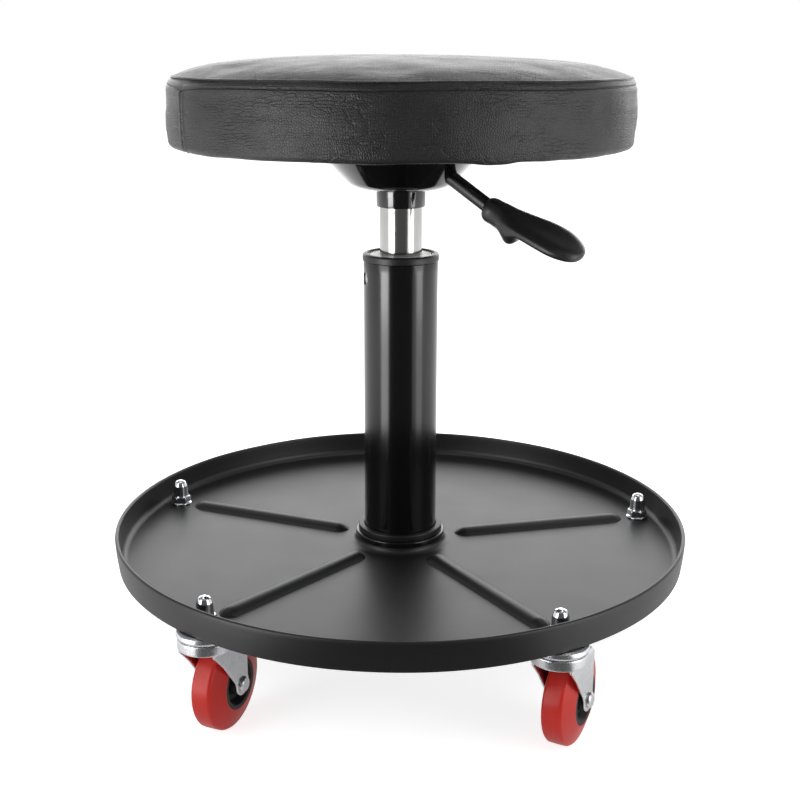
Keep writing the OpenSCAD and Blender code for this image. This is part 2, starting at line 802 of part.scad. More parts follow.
module tray() {
    color("#1d1d1f") difference() {
        union() {
            rotate_extrude() tray_section();
            for (az = caster_az) rotate([0, 0, az]) intersection() {
                rib_bar(0);
                translate([0, -rib_w, floor_z - sheet_t / 2]) cube([rim_r, 2 * rib_w, tray_depth]);
            }
        }
        for (az = caster_az) rotate([0, 0, az]) intersection() {
            rib_bar(sheet_t);
            translate([0, -rib_w, tray_under_z - over]) cube([rim_r, 2 * rib_w, tray_depth]);
        }
        at_casters() translate([0, 0, tray_under_z - over]) cylinder(d = stem_d, h = sheet_t + 2 * over);
    }
}

module dome_nuts() {
    dome_r = nut_dome_d / 2;
    bore_h = nut_h - nut_wall - dome_r / 2;
    color("#dfe1e4") at_casters() translate([0, 0, floor_z]) difference() {
        union() {
            cylinder(d = nut_flange_d, h = nut_flange_t);
            cylinder(d = nut_af / cos(30), h = nut_flange_t + nut_hex_h, $fn = 6);
            cylinder(r = dome_r, h = nut_h - dome_r);
            translate([0, 0, nut_h - dome_r]) sphere(r = dome_r);
        }
        translate([0, 0, -over]) cylinder(d = stem_d, h = bore_h + over);
    }
}

module caster_stems() {
    stem_top = nut_h - nut_wall - nut_dome_d / 2;
    color("#cfd2d6") at_casters() {
        translate([0, 0, tray_under_z]) cylinder(d = stem_d, h = sheet_t + stem_top);
        translate([0, 0, roof_z - king_gap]) cylinder(d = king_d, h = tray_under_z - roof_z + king_gap);
        translate([0, 0, roof_z - king_gap - king_head_h]) cylinder(d = king_head_d, h = king_head_h);
    }
}

module caster_top_plates() {
    r = top_plate_d / 2;
    edge = top_plate_h / 5;
    inner_r = cup_d / 2 - fork_t - plate_skirt_gap;
    plate_z = skirt_z - rest_gap;
    pilot_r = foot_r - sheet_t - caster_r - rest_gap;
    color("#cfd2d6") at_casters() rotate_extrude() polygon([
        [king_d / 2, race_z], [inner_r, race_z], [inner_r, top_plate_z], [r - edge, top_plate_z],
        [r, top_plate_z + edge], [r, plate_z - 3 * edge / 2], [r - edge, plate_z],
        [pilot_r, plate_z], [pilot_r, tray_under_z], [king_d / 2, tray_under_z]]);
}

module swivel_balls() {
    pitch_r = (king_d / 2 + cup_d / 2 - fork_t) / 2;
    color("silver") at_casters() for (i = [0:swivel_balls_n - 1]) rotate([0, 0, 360 / swivel_balls_n * i])
        translate([pitch_r, 0, cup_floor_z + run_gap + swivel_ball_d / 2]) sphere(d = swivel_ball_d);
}

// Outer half width of the fork across its legs
fork_half_w = wheel_w / 2 + leg_gap + fork_t;
leg_end_r = 6.5;
leg_end_angle = 215;
leg_upper_share = 0.62;
leg_lower_share = 0.12;
leg_reach_share = 0.56;
fork_bend = 4;
core_rim_t = 2.5;

// Side outline of the fork, along its trail and up
module fork_side() {
    front = cup_d / 3;
    polygon(concat(
        [[trail + leg_end_r, axle_z]],
        [[trail + leg_end_r, cup_floor_z - fork_bend], [trail + leg_end_r - fork_bend, cup_floor_z],
         [-front, cup_floor_z], [-front, roof_z - fork_t]],
        [[-front / 8, axle_z + (roof_z - axle_z) * leg_upper_share],
         [trail * leg_reach_share, axle_z + (roof_z - axle_z) * leg_lower_share]],
        arc(trail, axle_z, leg_end_r, leg_end_angle, 360)));
}

// Cross section of the fork, an upside-down U with round shoulders
module fork_section() {
    in_w = fork_half_w - fork_t;
    in_bend = fork_bend - fork_t;
    polygon(concat(
        [[fork_half_w, 0]],
        arc(fork_half_w - fork_bend, cup_floor_z - fork_bend, fork_bend, 0, 90, few_steps),
        arc(fork_bend - fork_half_w, cup_floor_z - fork_bend, fork_bend, 90, 180, few_steps),
        [[-fork_half_w, 0], [-in_w, 0]],
        arc(in_bend - in_w, roof_z - in_bend, in_bend, 180, 90, few_steps),
        arc(in_w - in_bend, roof_z - in_bend, in_bend, 90, 0, few_steps),
        [[in_w, 0]]));
}

module fork_form() {
    cup_r = cup_d / 2;
    difference() {
        union() {
            intersection() {
                translate([0, fork_half_w + over, 0]) rotate([90, 0, 0])
                    linear_extrude(2 * (fork_half_w + over)) fork_side();
                rotate([90, 0, 90]) translate([0, 0, -cup_r])
                    linear_extrude(2 * cup_r + trail + leg_end_r) fork_section();
            }
            translate([0, 0, roof_z]) cylinder(r = cup_r, h = cup_h);
        }
        translate([0, 0, cup_floor_z]) cylinder(r = cup_r - fork_t, h = cup_h);
        translate([0, 0, roof_z - over]) cylinder(r = king_d / 2 + run_gap, h = fork_t + 2 * over);
        translate([trail, 0, axle_z]) rotate([90, 0, 0])
            cylinder(d = axle_d, h = 2 * fork_half_w + 2 * over, center = true);
    }
}

module axle_form() {
    translate([trail, 0, axle_z]) rotate([90, 0, 0]) {
        cylinder(d = axle_d, h = 2 * fork_half_w, center = true);
        for (side = [-1, 1]) translate([0, 0, side * (fork_half_w + rivet_h / 2)])
            cylinder(d = rivet_d, h = rivet_h, center = true);
    }
}

// Turns an outline drawn as radius and width into a wheel on its axle
module on_axle() {
    translate([trail, 0, axle_z]) rotate([90, 0, 0]) rotate_extrude() children();
}

module core_form() {
    rim_w = wheel_w / 2 - run_gap;
    web_w = wheel_w / 4;
    rim_in = core_d / 2 - core_rim_t;
    boss_foot = boss_d / 2 + core_rim_t / 2;
    on_axle() polygon([
        [axle_d / 2 + run_gap, -wheel_w / 2], [boss_d / 2, -wheel_w / 2], [boss_foot, -web_w],
        [rim_in - core_rim_t, -web_w], [rim_in, -rim_w], [core_d / 2, -rim_w],
        [core_d / 2, rim_w], [rim_in, rim_w], [rim_in - core_rim_t, web_w],
        [boss_foot, web_w], [boss_d / 2, wheel_w / 2], [axle_d / 2 + run_gap, wheel_w / 2]]);
}

module tyre_form() {
    r = wheel_d / 2;
    edge = tread_w / 12;
    side_w = wheel_w / 2 - run_gap;
    on_axle() polygon([
        [core_d / 2, -side_w], [r - 2 * edge, -tread_w / 2 - edge / 2], [r, -tread_w / 2 + edge],
        [r, tread_w / 2 - edge], [r - 2 * edge, tread_w / 2 + edge / 2], [core_d / 2, side_w]]);
}

module caster_fork(i) { color("#c9ccd0") at_caster(i) fork_form(); }
module wheel_axle(i) { color("#bfc2c6") at_caster(i) axle_form(); }
module wheel_core(i) { color("#202022") at_caster(i) core_form(); }
module wheel_tyre(i) { color("#c8302b") at_caster(i) tyre_form(); }

seat_cover();
seat_foam();
seat_board();
dust_cloth();
hem_staples();
insert_nuts();
seat_screws();
screw_washers();
mechanism_plate();
taper_sleeve();
lever_pivot_pin();
lever_rod();
lever_grip();
gas_cylinder();
rod_guide();
valve_block();
release_pin();
piston_rod();
piston();
rubber_bumper();
thrust_washer_upper();
retaining_clip();
thrust_washer_lower();
thrust_balls();
ball_cage();
column_tube();
column_cap();
guide_bushing();
column_ring();
column_socket();
tray();
dome_nuts();
caster_stems();
caster_top_plates();
swivel_balls();
for (i = caster_numbers) {
    caster_fork(i);
    wheel_axle(i);
    wheel_core(i);
    wheel_tyre(i);
}
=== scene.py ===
"""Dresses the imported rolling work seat: padded seat, gas lift, tool tray and casters, with its studio."""
import json
import math

import bpy
import bmesh
import numpy as np
from mathutils import Matrix, Vector, noise
from mathutils.kdtree import KDTree


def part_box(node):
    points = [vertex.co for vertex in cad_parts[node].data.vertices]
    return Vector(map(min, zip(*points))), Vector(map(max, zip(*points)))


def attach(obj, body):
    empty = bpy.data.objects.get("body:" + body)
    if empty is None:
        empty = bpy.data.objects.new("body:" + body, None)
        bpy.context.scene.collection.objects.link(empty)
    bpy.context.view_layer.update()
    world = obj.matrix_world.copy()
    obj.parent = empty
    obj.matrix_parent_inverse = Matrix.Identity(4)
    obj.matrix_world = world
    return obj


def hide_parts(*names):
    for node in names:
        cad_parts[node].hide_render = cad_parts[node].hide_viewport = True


bl_info = {
    "name": "Rolling work seat",
    "version": (1, 0, 0),
    "blender": (4, 5, 0),
    "location": "3D View > Sidebar > Work seat",
    "description": "Builds the seat, lift, tray and casters of a work seat round its packed CAD model",
    "category": "Object",
}

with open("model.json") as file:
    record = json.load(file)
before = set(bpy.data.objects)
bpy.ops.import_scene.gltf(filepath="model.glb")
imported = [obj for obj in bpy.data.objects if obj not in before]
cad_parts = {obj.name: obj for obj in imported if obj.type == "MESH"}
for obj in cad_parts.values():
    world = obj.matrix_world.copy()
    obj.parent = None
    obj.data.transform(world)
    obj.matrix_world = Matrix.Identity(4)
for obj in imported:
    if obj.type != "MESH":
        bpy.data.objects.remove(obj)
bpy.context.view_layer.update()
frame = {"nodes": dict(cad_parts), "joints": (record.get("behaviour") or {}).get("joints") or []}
MM = 0.001
TAU = 2 * math.pi
CASTERS = range(1, 6)
SHARP = 38                  # edges that bend more than this many degrees stay sharp


def low(node):
    """Lowest corner of a CAD node's box, in metres."""
    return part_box(node)[0]


def high(node):
    """Highest corner of a CAD node's box, in metres."""
    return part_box(node)[1]


def radius(node):
    """Half the width of a round CAD node, in metres."""
    return (high(node).x - low(node).x) / 2


# ---------------------------------------------------------------- sizes and colours

def length(name, text, default, **more):
    return bpy.props.FloatProperty(name=name, description=text, default=default, min=0, unit="LENGTH",
                                   precision=5, **more)


def angle(name, text, degrees):
    return bpy.props.FloatProperty(name=name, description=text, default=math.radians(degrees),
                                   subtype="ANGLE", unit="ROTATION")


def number(name, text, default):
    return bpy.props.IntProperty(name=name, description=text, default=default, min=3)


def linear(code):
    """Linear colour with alpha from an sRGB hex value."""
    parts = [int(code[i:i + 2], 16) / 255 for i in (1, 3, 5)]
    return tuple(c / 12.92 if c <= 0.04045 else ((c + 0.055) / 1.055) ** 2.4 for c in parts) + (1.0,)


def colour(name, text, code):
    return bpy.props.FloatVectorProperty(name=name, description=text, subtype="COLOR", size=4, min=0, max=1,
                                         default=linear(code))


class SeatSizes(bpy.types.PropertyGroup):
    radius: length("Radius", "Radius of the cover at its seam", radius("seat_cover") - 0.5 * MM)
    bottom: length("Underside", "Height of the cover's underside above the floor", low("seat_cover").z)
    side: length("Side", "Height of the corner crease above the underside", 42 * MM)
    seam_drop: length("Seam drop", "Distance of the seam below the crease", 3.8 * MM)
    shoulder: length("Shoulder", "How far the band above the seam leans in", 1.7 * MM)
    draw_in: length("Draw in", "How far the side is drawn in at its foot", 0.4 * MM)
    foot_round: length("Foot round", "Radius of the bottom edge", 4.6 * MM)
    hang: length("Hang", "How far the foot of the side hangs below the underside", 1.2 * MM)
    cover: length("Cover", "Thickness of the vinyl and its lining", 1.9 * MM)
    hem: length("Hem", "Radius of the hem's inner edge under the board", 118 * MM)
    groove: length("Seam groove", "Depth of the groove at the seam", 0.75 * MM)
    joint: angle("Side joint", "Direction of the upright joint in the side panel", 214.5)
    stitch: length("Stitch", "Length of one stitch with its gap", 3.4 * MM)
    thread: length("Thread", "Thickness of the sewing thread", 0.45 * MM)
    swell: length("Swell cap", "Most that the pressed foam may push the cover out", 4 * MM)
    staples: number("Staples", "Number of staples in the hem", 24)
    vinyl: colour("Vinyl", "Colour of the cover", "#1c1c1e")
    yarn: colour("Yarn", "Colour of the sewing thread", "#0c0c0d")


class LiftSizes(bpy.types.PropertyGroup):
    column: length("Column radius", "Outer radius of the column", radius("column_tube"))
    column_wall: length("Column wall", "Wall of the column", 1.8 * MM)
    tube: length("Tube radius", "Radius of the chrome tube", radius("gas_cylinder"))
    tube_wall: length("Tube wall", "Wall of the chrome tube", 1.5 * MM)
    sleeve: length("Sleeve radius", "Radius of the tapered sleeve", radius("taper_sleeve"))
    sheet: length("Bowl sheet", "Thickness of the bowl's sheet", 1.6 * MM)
    bowl_floor: length("Bowl floor", "Radius of the bowl's flat floor", 23 * MM)
    bowl_mouth: length("Bowl mouth", "Radius of the bowl's mouth", 56 * MM)
    flange: length("Flange", "Radius of the flange under the seat", radius("mechanism_plate"))
    enamel: colour("Enamel", "Colour of the bowl, the sleeve and the lever", "#0a0a0b")
    powder: colour("Powder coat", "Colour of the column", "#0d0d0e")
    chrome: colour("Chrome", "Colour of the ground chrome tube", "#bfbfbd")
    grip: colour("Grip", "Colour of the lever's grip", "#232324")


class TraySizes(bpy.types.PropertyGroup):
    rim: length("Rim radius", "Half the width of the tray at its rim", radius("tray"))
    draft: length("Draft", "How much narrower the hem is than the rim, in radius", 1.7 * MM)
    depth: length("Depth", "Depth of the tray from its rim to its floor", 17.6 * MM)
    sheet: length("Sheet", "Thickness of the sheet", 1.3 * MM)
    bend: length("Bend", "Radius of the bend between floor and wall", 4.5 * MM)
    neck: length("Neck", "Outer radius of the neck round the column", 30.9 * MM)
    neck_bend: length("Neck bend", "Radius of the fillet that rises to the neck", 4.4 * MM)
    rib_height: length("Rib height", "Height of a pressed rib", 4 * MM)
    rib_width: length("Rib width", "Width of a pressed rib", 15 * MM)
    rib_start: length("Rib start", "Distance from the axis to a rib's inner tip", 40 * MM)
    rib_end: length("Rib end", "Distance from the axis to a rib's outer tip", 169 * MM)
    bow: length("Rib bow", "Length over which a rib's end narrows to its tip", 9.5 * MM)
    paint: colour("Paint", "Colour of the tray", "#151516")


class CasterSizes(bpy.types.PropertyGroup):
    circle: length("Circle", "Distance from the axis to a caster's swivel", 181.54 * MM)
    wheel: length("Wheel radius", "Radius of a wheel", 30.5 * MM)
    tread: length("Tread", "Width of the flat tread", 12 * MM)
    hub: length("Hub width", "Width of the wheel at its core", 21.5 * MM)
    core: length("Core radius", "Radius of the black core", 16.5 * MM)
    plate: length("Plate radius", "Radius of the top plate", 18.25 * MM)
    voxel: length("Fork fineness", "Size of the cells that round the fork's edges", 0.48 * MM)
    red: colour("Tyre", "Colour of the tyre", "#cf2a20")
    zinc: colour("Zinc", "Colour of the zinc plate", "#dadbde")


class StageSizes(bpy.types.PropertyGroup):
    lens: bpy.props.FloatProperty(name="Lens", description="Focal length for a 36 mm wide picture",
                                  default=55.66, min=1, unit="CAMERA")
    eye: bpy.props.FloatVectorProperty(name="Eye", description="Place of the camera", size=3, unit="LENGTH",
                                       default=(0.0642, -0.8199, 0.4131), precision=5)
    aim: bpy.props.FloatVectorProperty(name="Aim", description="Point that the camera looks at", size=3,
                                       unit="LENGTH", default=(-0.0003, 0, 0.1804), precision=5)
    roll: angle("Roll", "Turn of the camera about its view", 0.14)
    left: angle("Left lamp", "Direction of the left lamp from the camera", -53)
    right: angle("Right lamp", "Direction of the right lamp from the camera", 58)
    reach: length("Lamp distance", "Distance of both side lamps from the axis", 1.5)
    radiance: bpy.props.FloatProperty(name="Lamp level", description="Brightness of the side lamps",
                                      default=2.4, min=0)
    back: bpy.props.FloatProperty(name="Back lamp level", default=2.6, min=0,
                                  description="Brightness of the lamp behind the seat")
    strip: bpy.props.FloatProperty(name="Strip level", description="Brightness of the strips seen in gloss",
                                   default=11.5, min=0)
    flag: angle("Flag", "Half the angle that the black flag in front takes up", 37)
    flag_level: bpy.props.FloatProperty(name="Flag level", description="Brightness of the black flag",
                                        default=0.1, min=0)


GROUPS = {"seat_sizes": SeatSizes, "lift_sizes": LiftSizes, "tray_sizes": TraySizes,
          "caster_sizes": CasterSizes, "stage_sizes": StageSizes}


# ---------------------------------------------------------------- meshes

def corners(points, steps=5, closed=True):
    """Outline of (x, y, radius) corners, each turned on an arc of that radius."""
    out, n = [], len(points)
    for i, (x, y, r) in enumerate(points):
        p = np.array([x, y], float)
        if r <= 0 or (not closed and i in (0, n - 1)):
            out.append((x, y))
            continue
        a = np.array(points[i - 1][:2], float) - p
        b = np.array(points[(i + 1) % n][:2], float) - p
        la, lb = np.linalg.norm(a), np.linalg.norm(b)
        u, v = a / la, b / lb
        half = math.acos(max(-1, min(1, float(u @ v)))) / 2
        t = min(r / math.tan(half), 0.48 * la, 0.48 * lb)
        r = t * math.tan(half)
        c = p + (u + v) / np.linalg.norm(u + v) * (r / math.sin(half))
        s, e = p + u * t - c, p + v * t - c
        a0 = math.atan2(s[1], s[0])
        turn = (math.atan2(e[1], e[0]) - a0 + math.pi) % TAU - math.pi
        out += [(c[0] + r * math.cos(a0 + turn * k / steps), c[1] + r * math.sin(a0 + turn * k / steps))
                for k in range(steps + 1)]
    return out


def turned(profile, count=96, closed=True):
    """Vertices and faces of an outline of (radius, height) turned round Z."""
    p = np.array(profile, float)
    m = len(p)
    t = np.arange(count) * TAU / count
    verts = np.stack([np.outer(np.cos(t), p[:, 0]), np.outer(np.sin(t), p[:, 0]),
                      np.tile(p[:, 1], (count, 1))], 2).reshape(-1, 3)
    faces = [(i * m + j, ((i + 1) % count) * m + j, ((i + 1) % count) * m + (j + 1) % m, i * m + (j + 1) % m)
             for i in range(count) for j in range(m if closed else m - 1)]
    return verts, faces


def joined(*parts):
    """One list of vertices and faces from several."""
    verts, faces, at = [], [], 0
    for v, f in parts:
        verts.append(np.asarray(v, float))
        faces += [tuple(k + at for k in face) for face in f]
        at += len(v)
    return np.concatenate(verts), faces


def moved(part, matrix):
    """The part with a 4x4 matrix applied to its vertices."""
    m = np.array(matrix)
    return np.asarray(part[0]) @ m[:3, :3].T + m[:3, 3], part[1]


def mm(*rows):
    """Rows of millimetres in metres."""
    return [tuple(x * MM for x in row) for row in rows]


def prism(ring):
    """Closed form between two like outlines that are given one after the other."""
    k = len(ring) // 2
    sides = [(i, (i + 1) % k, k + (i + 1) % k, k + i) for i in range(k)]
    return ring, sides + [tuple(range(k)), tuple(range(k, 2 * k))]


def skin(rows, around):
    """Faces of a closed form whose rows of points lie one after the other, with both ends shut."""
    faces = [(i * around + q, i * around + (q + 1) % around, (i + 1) * around + (q + 1) % around,
              (i + 1) * around + q) for i in range(rows - 1) for q in range(around)]
    return faces + [tuple(range(around)), tuple(range((rows - 1) * around, rows * around))]


def mesh_object(name, part, *materials, sharp=SHARP, outward=True):
    """A smooth-shaded mesh object, its doubles merged and its faces turned outwards."""
    data = bpy.data.meshes.new(name)
    data.from_pydata([tuple(v) for v in np.asarray(part[0]).tolist()], [], part[1])
    bm = bmesh.new()
    bm.from_mesh(data)
    bmesh.ops.remove_doubles(bm, verts=bm.verts, dist=2e-6)
    bmesh.ops.dissolve_degenerate(bm, edges=bm.edges, dist=1e-7)
    if outward:
        bmesh.ops.recalc_face_normals(bm, faces=bm.faces)
    bm.to_mesh(data)
    bm.free()
    return finished(name, data, materials, sharp)


def finished(name, data, materials, sharp):
    """An object of a mesh with its materials, smooth but for edges sharper than an angle in degrees."""
    for m in materials:
        data.materials.append(m)
    data.shade_smooth()
    data.set_sharp_from_angle(angle=math.radians(sharp))
    obj = bpy.data.objects.new(name, data)
    bpy.context.scene.collection.objects.link(obj)
    return obj


def bake(obj):
    """Turns an object's modifiers into its own mesh."""
    bpy.context.view_layer.update()
    dg = bpy.context.evaluated_depsgraph_get()
    data = bpy.data.meshes.new_from_object(obj.evaluated_get(dg), preserve_all_data_layers=True, depsgraph=dg)
    obj.modifiers.clear()
    obj.data = data


def cut(obj, part):
    """Takes a closed form out of an object."""
    tool = mesh_object("cutter", part)
    m = obj.modifiers.new("cut", "BOOLEAN")
    m.operation, m.solver, m.object = "DIFFERENCE", "EXACT", tool
    bake(obj)
    bpy.data.objects.remove(tool)


def seated(obj, body, slot, *nodes):
    """Lets a piece ride on its body and stand for its CAD nodes; its slot is not used."""
    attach(obj, body)
    if nodes:
        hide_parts(*nodes)


def along(direction, start=(0, 0, 0)):
    """Matrix that turns Z to a direction and moves to a start."""
    return Matrix.Translation(Vector(start)) @ Vector(direction).to_track_quat("Z", "Y").to_matrix().to_4x4()


# ---------------------------------------------------------------- repeated pieces

def new_tree(name, inputs):
    """A geometry tree with a geometry input, named inputs and its group nodes."""
    tree = bpy.data.node_groups.new(name, "GeometryNodeTree")
    tree.interface.new_socket("Geometry", in_out="INPUT", socket_type="NodeSocketGeometry")
    for label, kind in inputs:
        tree.interface.new_socket(label, in_out="INPUT", socket_type=kind)
    tree.interface.new_socket("Geometry", in_out="OUTPUT", socket_type="NodeSocketGeometry")
    return tree, add(tree, "NodeGroupInput"), add(tree, "NodeGroupOutput")


def add(tree, kind, settings=(), inputs=()):
    """Adds a node, sets its settings, and sets or links its inputs by name or number."""
    n = tree.nodes.new(kind)
    for key, value in dict(settings).items():
        setattr(n, key, value)
    for key, value in dict(inputs).items():
        if isinstance(value, bpy.types.NodeSocket):
            tree.links.new(value, n.inputs[key])
        else:
            n.inputs[key].default_value = value
    return n


def maths(tree, what, a, b):
    """One operation on two values."""
    return add(tree, "ShaderNodeMath", {"operation": what}, {0: a, 1: b}).outputs[0]


def finish_tree(tree, source, group_in, group_out):
    """Ends a geometry tree in real meshes with its material."""
    real = add(tree, "GeometryNodeRealizeInstances", (), {"Geometry": source})
    painted = add(tree, "GeometryNodeSetMaterial", (),
                  {"Geometry": real.outputs["Geometry"], "Material": group_in.outputs["Material"]})
    tree.links.new(painted.outputs["Geometry"], group_out.inputs["Geometry"])


def ring_tree():
    """Copies of a piece that stand in a ring and face outwards."""
    tree, gi, go = new_tree("Ring of copies", [
        ("Count", "NodeSocketInt"), ("Radius", "NodeSocketFloat"), ("Start", "NodeSocketFloat"),
        ("Material", "NodeSocketMaterial")])
    ring = add(tree, "GeometryNodeMeshCircle", (), {"Vertices": gi.outputs["Count"],
                                                   "Radius": gi.outputs["Radius"]})
    step = maths(tree, "DIVIDE", TAU, gi.outputs["Count"])
    index = add(tree, "GeometryNodeInputIndex")
    turn = maths(tree, "MULTIPLY", index.outputs[0], step)
    spin = add(tree, "ShaderNodeCombineXYZ", (), {"Z": turn})
    copies = add(tree, "GeometryNodeInstanceOnPoints", (), {
        "Points": ring.outputs["Mesh"], "Instance": gi.outputs["Geometry"], "Rotation": spin.outputs[0]})
    start = add(tree, "ShaderNodeCombineXYZ", (), {"Z": gi.outputs["Start"]})
    whole = add(tree, "GeometryNodeTransform", (), {"Geometry": copies.outputs["Instances"],
                                                    "Rotation": start.outputs[0]})
    finish_tree(tree, whole.outputs["Geometry"], gi, go)
    return tree


def square_tree():
    """Four copies of a piece on the corners of a square."""
    tree, gi, go = new_tree("Square of copies", [("Side", "NodeSocketFloat"),
                                                 ("Material", "NodeSocketMaterial")])
    grid = add(tree, "GeometryNodeMeshGrid", (), {"Size X": gi.outputs["Side"], "Size Y": gi.outputs["Side"],
                                                  "Vertices X": 2, "Vertices Y": 2})
    copies = add(tree, "GeometryNodeInstanceOnPoints", (), {"Points": grid.outputs["Mesh"],
                                                            "Instance": gi.outputs["Geometry"]})
    finish_tree(tree, copies.outputs["Instances"], gi, go)
    return tree


def stitch_tree():
    """Stitches that lie one behind the other along a line of edges."""
    tree, gi, go = new_tree("Stitches", [("Pitch", "NodeSocketFloat"), ("Thread", "NodeSocketFloat"),
                                         ("Material", "NodeSocketMaterial")])
    line = add(tree, "GeometryNodeMeshToCurve", (), {"Mesh": gi.outputs["Geometry"]})
    points = add(tree, "GeometryNodeResampleCurve", {"mode": "LENGTH"},
                 {"Curve": line.outputs["Curve"], "Length": gi.outputs["Pitch"]})
    along_line = add(tree, "GeometryNodeInputTangent")
    spin = add(tree, "FunctionNodeAlignRotationToVector", {"axis": "X"}, {"Vector": along_line.outputs[0]})
    half = maths(tree, "MULTIPLY", gi.outputs["Pitch"], 0.42)
    stitch = add(tree, "GeometryNodeMeshUVSphere", (), {"Segments": 8, "Rings": 6, "Radius": 1.0})
    scale = add(tree, "ShaderNodeCombineXYZ", (), {"X": half, "Y": gi.outputs["Thread"],
                                                   "Z": gi.outputs["Thread"]})
    shaped = add(tree, "GeometryNodeTransform", (), {"Geometry": stitch.outputs["Mesh"],
                                                     "Scale": scale.outputs[0]})
    copies = add(tree, "GeometryNodeInstanceOnPoints", (), {
        "Points": points.outputs["Curve"], "Instance": shaped.outputs["Geometry"],
        "Rotation": spin.outputs[0]})
    finish_tree(tree, copies.outputs["Instances"], gi, go)
    return tree


TREES = {}


def repeated(obj, maker, **values):
    """Repeats an object's mesh with a geometry tree and keeps the result as its plain mesh."""
    if maker not in TREES:
        TREES[maker] = maker()
    tree = TREES[maker]
    ids = {s.name: s.identifier for s in tree.interface.items_tree if s.in_out == "INPUT"}
    m = obj.modifiers.new("repeat", "NODES")
    m.node_group = tree
    for key, value in values.items():
        m[ids[key]] = value
    bake(obj)
    obj.data.set_sharp_from_angle(angle=math.radians(SHARP))


# ---------------------------------------------------------------- materials

MADE = {}


def finish_of(maker):
    """Each finish is made once and kept under its maker's name."""
    def made(*given):
        key = (maker.__name__,) + given
        if key not in MADE:
            MADE[key] = maker(*given)
        return MADE[key]
    return made


def blank(block):
    """The emptied node tree of a material or a world."""
    block.use_nodes = True
    block.node_tree.nodes.clear()
    return block.node_tree


def surface(name, **sockets):
    """A material with one principled shader, its sockets set by name."""
    m = bpy.data.materials.new(name)
    t = blank(m)
    shader = add(t, "ShaderNodeBsdfPrincipled", (), {k.replace("_", " "): v for k, v in sockets.items()})
    add(t, "ShaderNodeOutputMaterial", (), {"Surface": shader.outputs["BSDF"]})
    return m, t, shader


def place_of(tree, uv=False, scale=(1, 1, 1)):
    """Object or UV coordinates in metres, scaled along each axis."""
    co = add(tree, "ShaderNodeTexCoord")
    return add(tree, "ShaderNodeMapping", (), {
        "Vector": co.outputs["UV" if uv else "Object"], "Scale": scale}).outputs[0]


def noise_of(tree, where, grain, detail=3.0, roughness=0.55):
    """Noise whose lumps are about grain metres wide."""
    return add(tree, "ShaderNodeTexNoise", (), {
        "Vector": where, "Scale": 1 / grain, "Detail": detail, "Roughness": roughness}).outputs["Fac"]


def between(tree, value, a0, a1, b0, b1):
    """Maps a value from one range to another, kept inside it."""
    return add(tree, "ShaderNodeMapRange", (), {"Value": value, "From Min": a0, "From Max": a1,
                                                "To Min": b0, "To Max": b1}).outputs[0]


def mixed(tree, amount, a, b):
    """Colour between two colours."""
    n = add(tree, "ShaderNodeMix", {"data_type": "RGBA"}, {"Factor": amount})
    for socket, value in ((n.inputs[6], a), (n.inputs[7], b)):
        if isinstance(value, bpy.types.NodeSocket):
            tree.links.new(value, socket)
        else:
            socket.default_value = value
    return n.outputs[2]


def bump(tree, shader, height, depth, strength=1.0, before=None):
    """Bumps the shader by a height of 0 to 1 that stands for depth metres."""
    n = add(tree, "ShaderNodeBump", (), {"Strength": strength, "Distance": depth, "Height": height})
    if before is not None:
        tree.links.new(before, n.inputs["Normal"])
    tree.links.new(n.outputs[0], shader.inputs["Normal"])
    return n.outputs[0]


def shade(col, factor):
    """The colour made darker or lighter by a factor."""
    return tuple(min(1.0, c * factor) for c in col[:3]) + (1.0,)


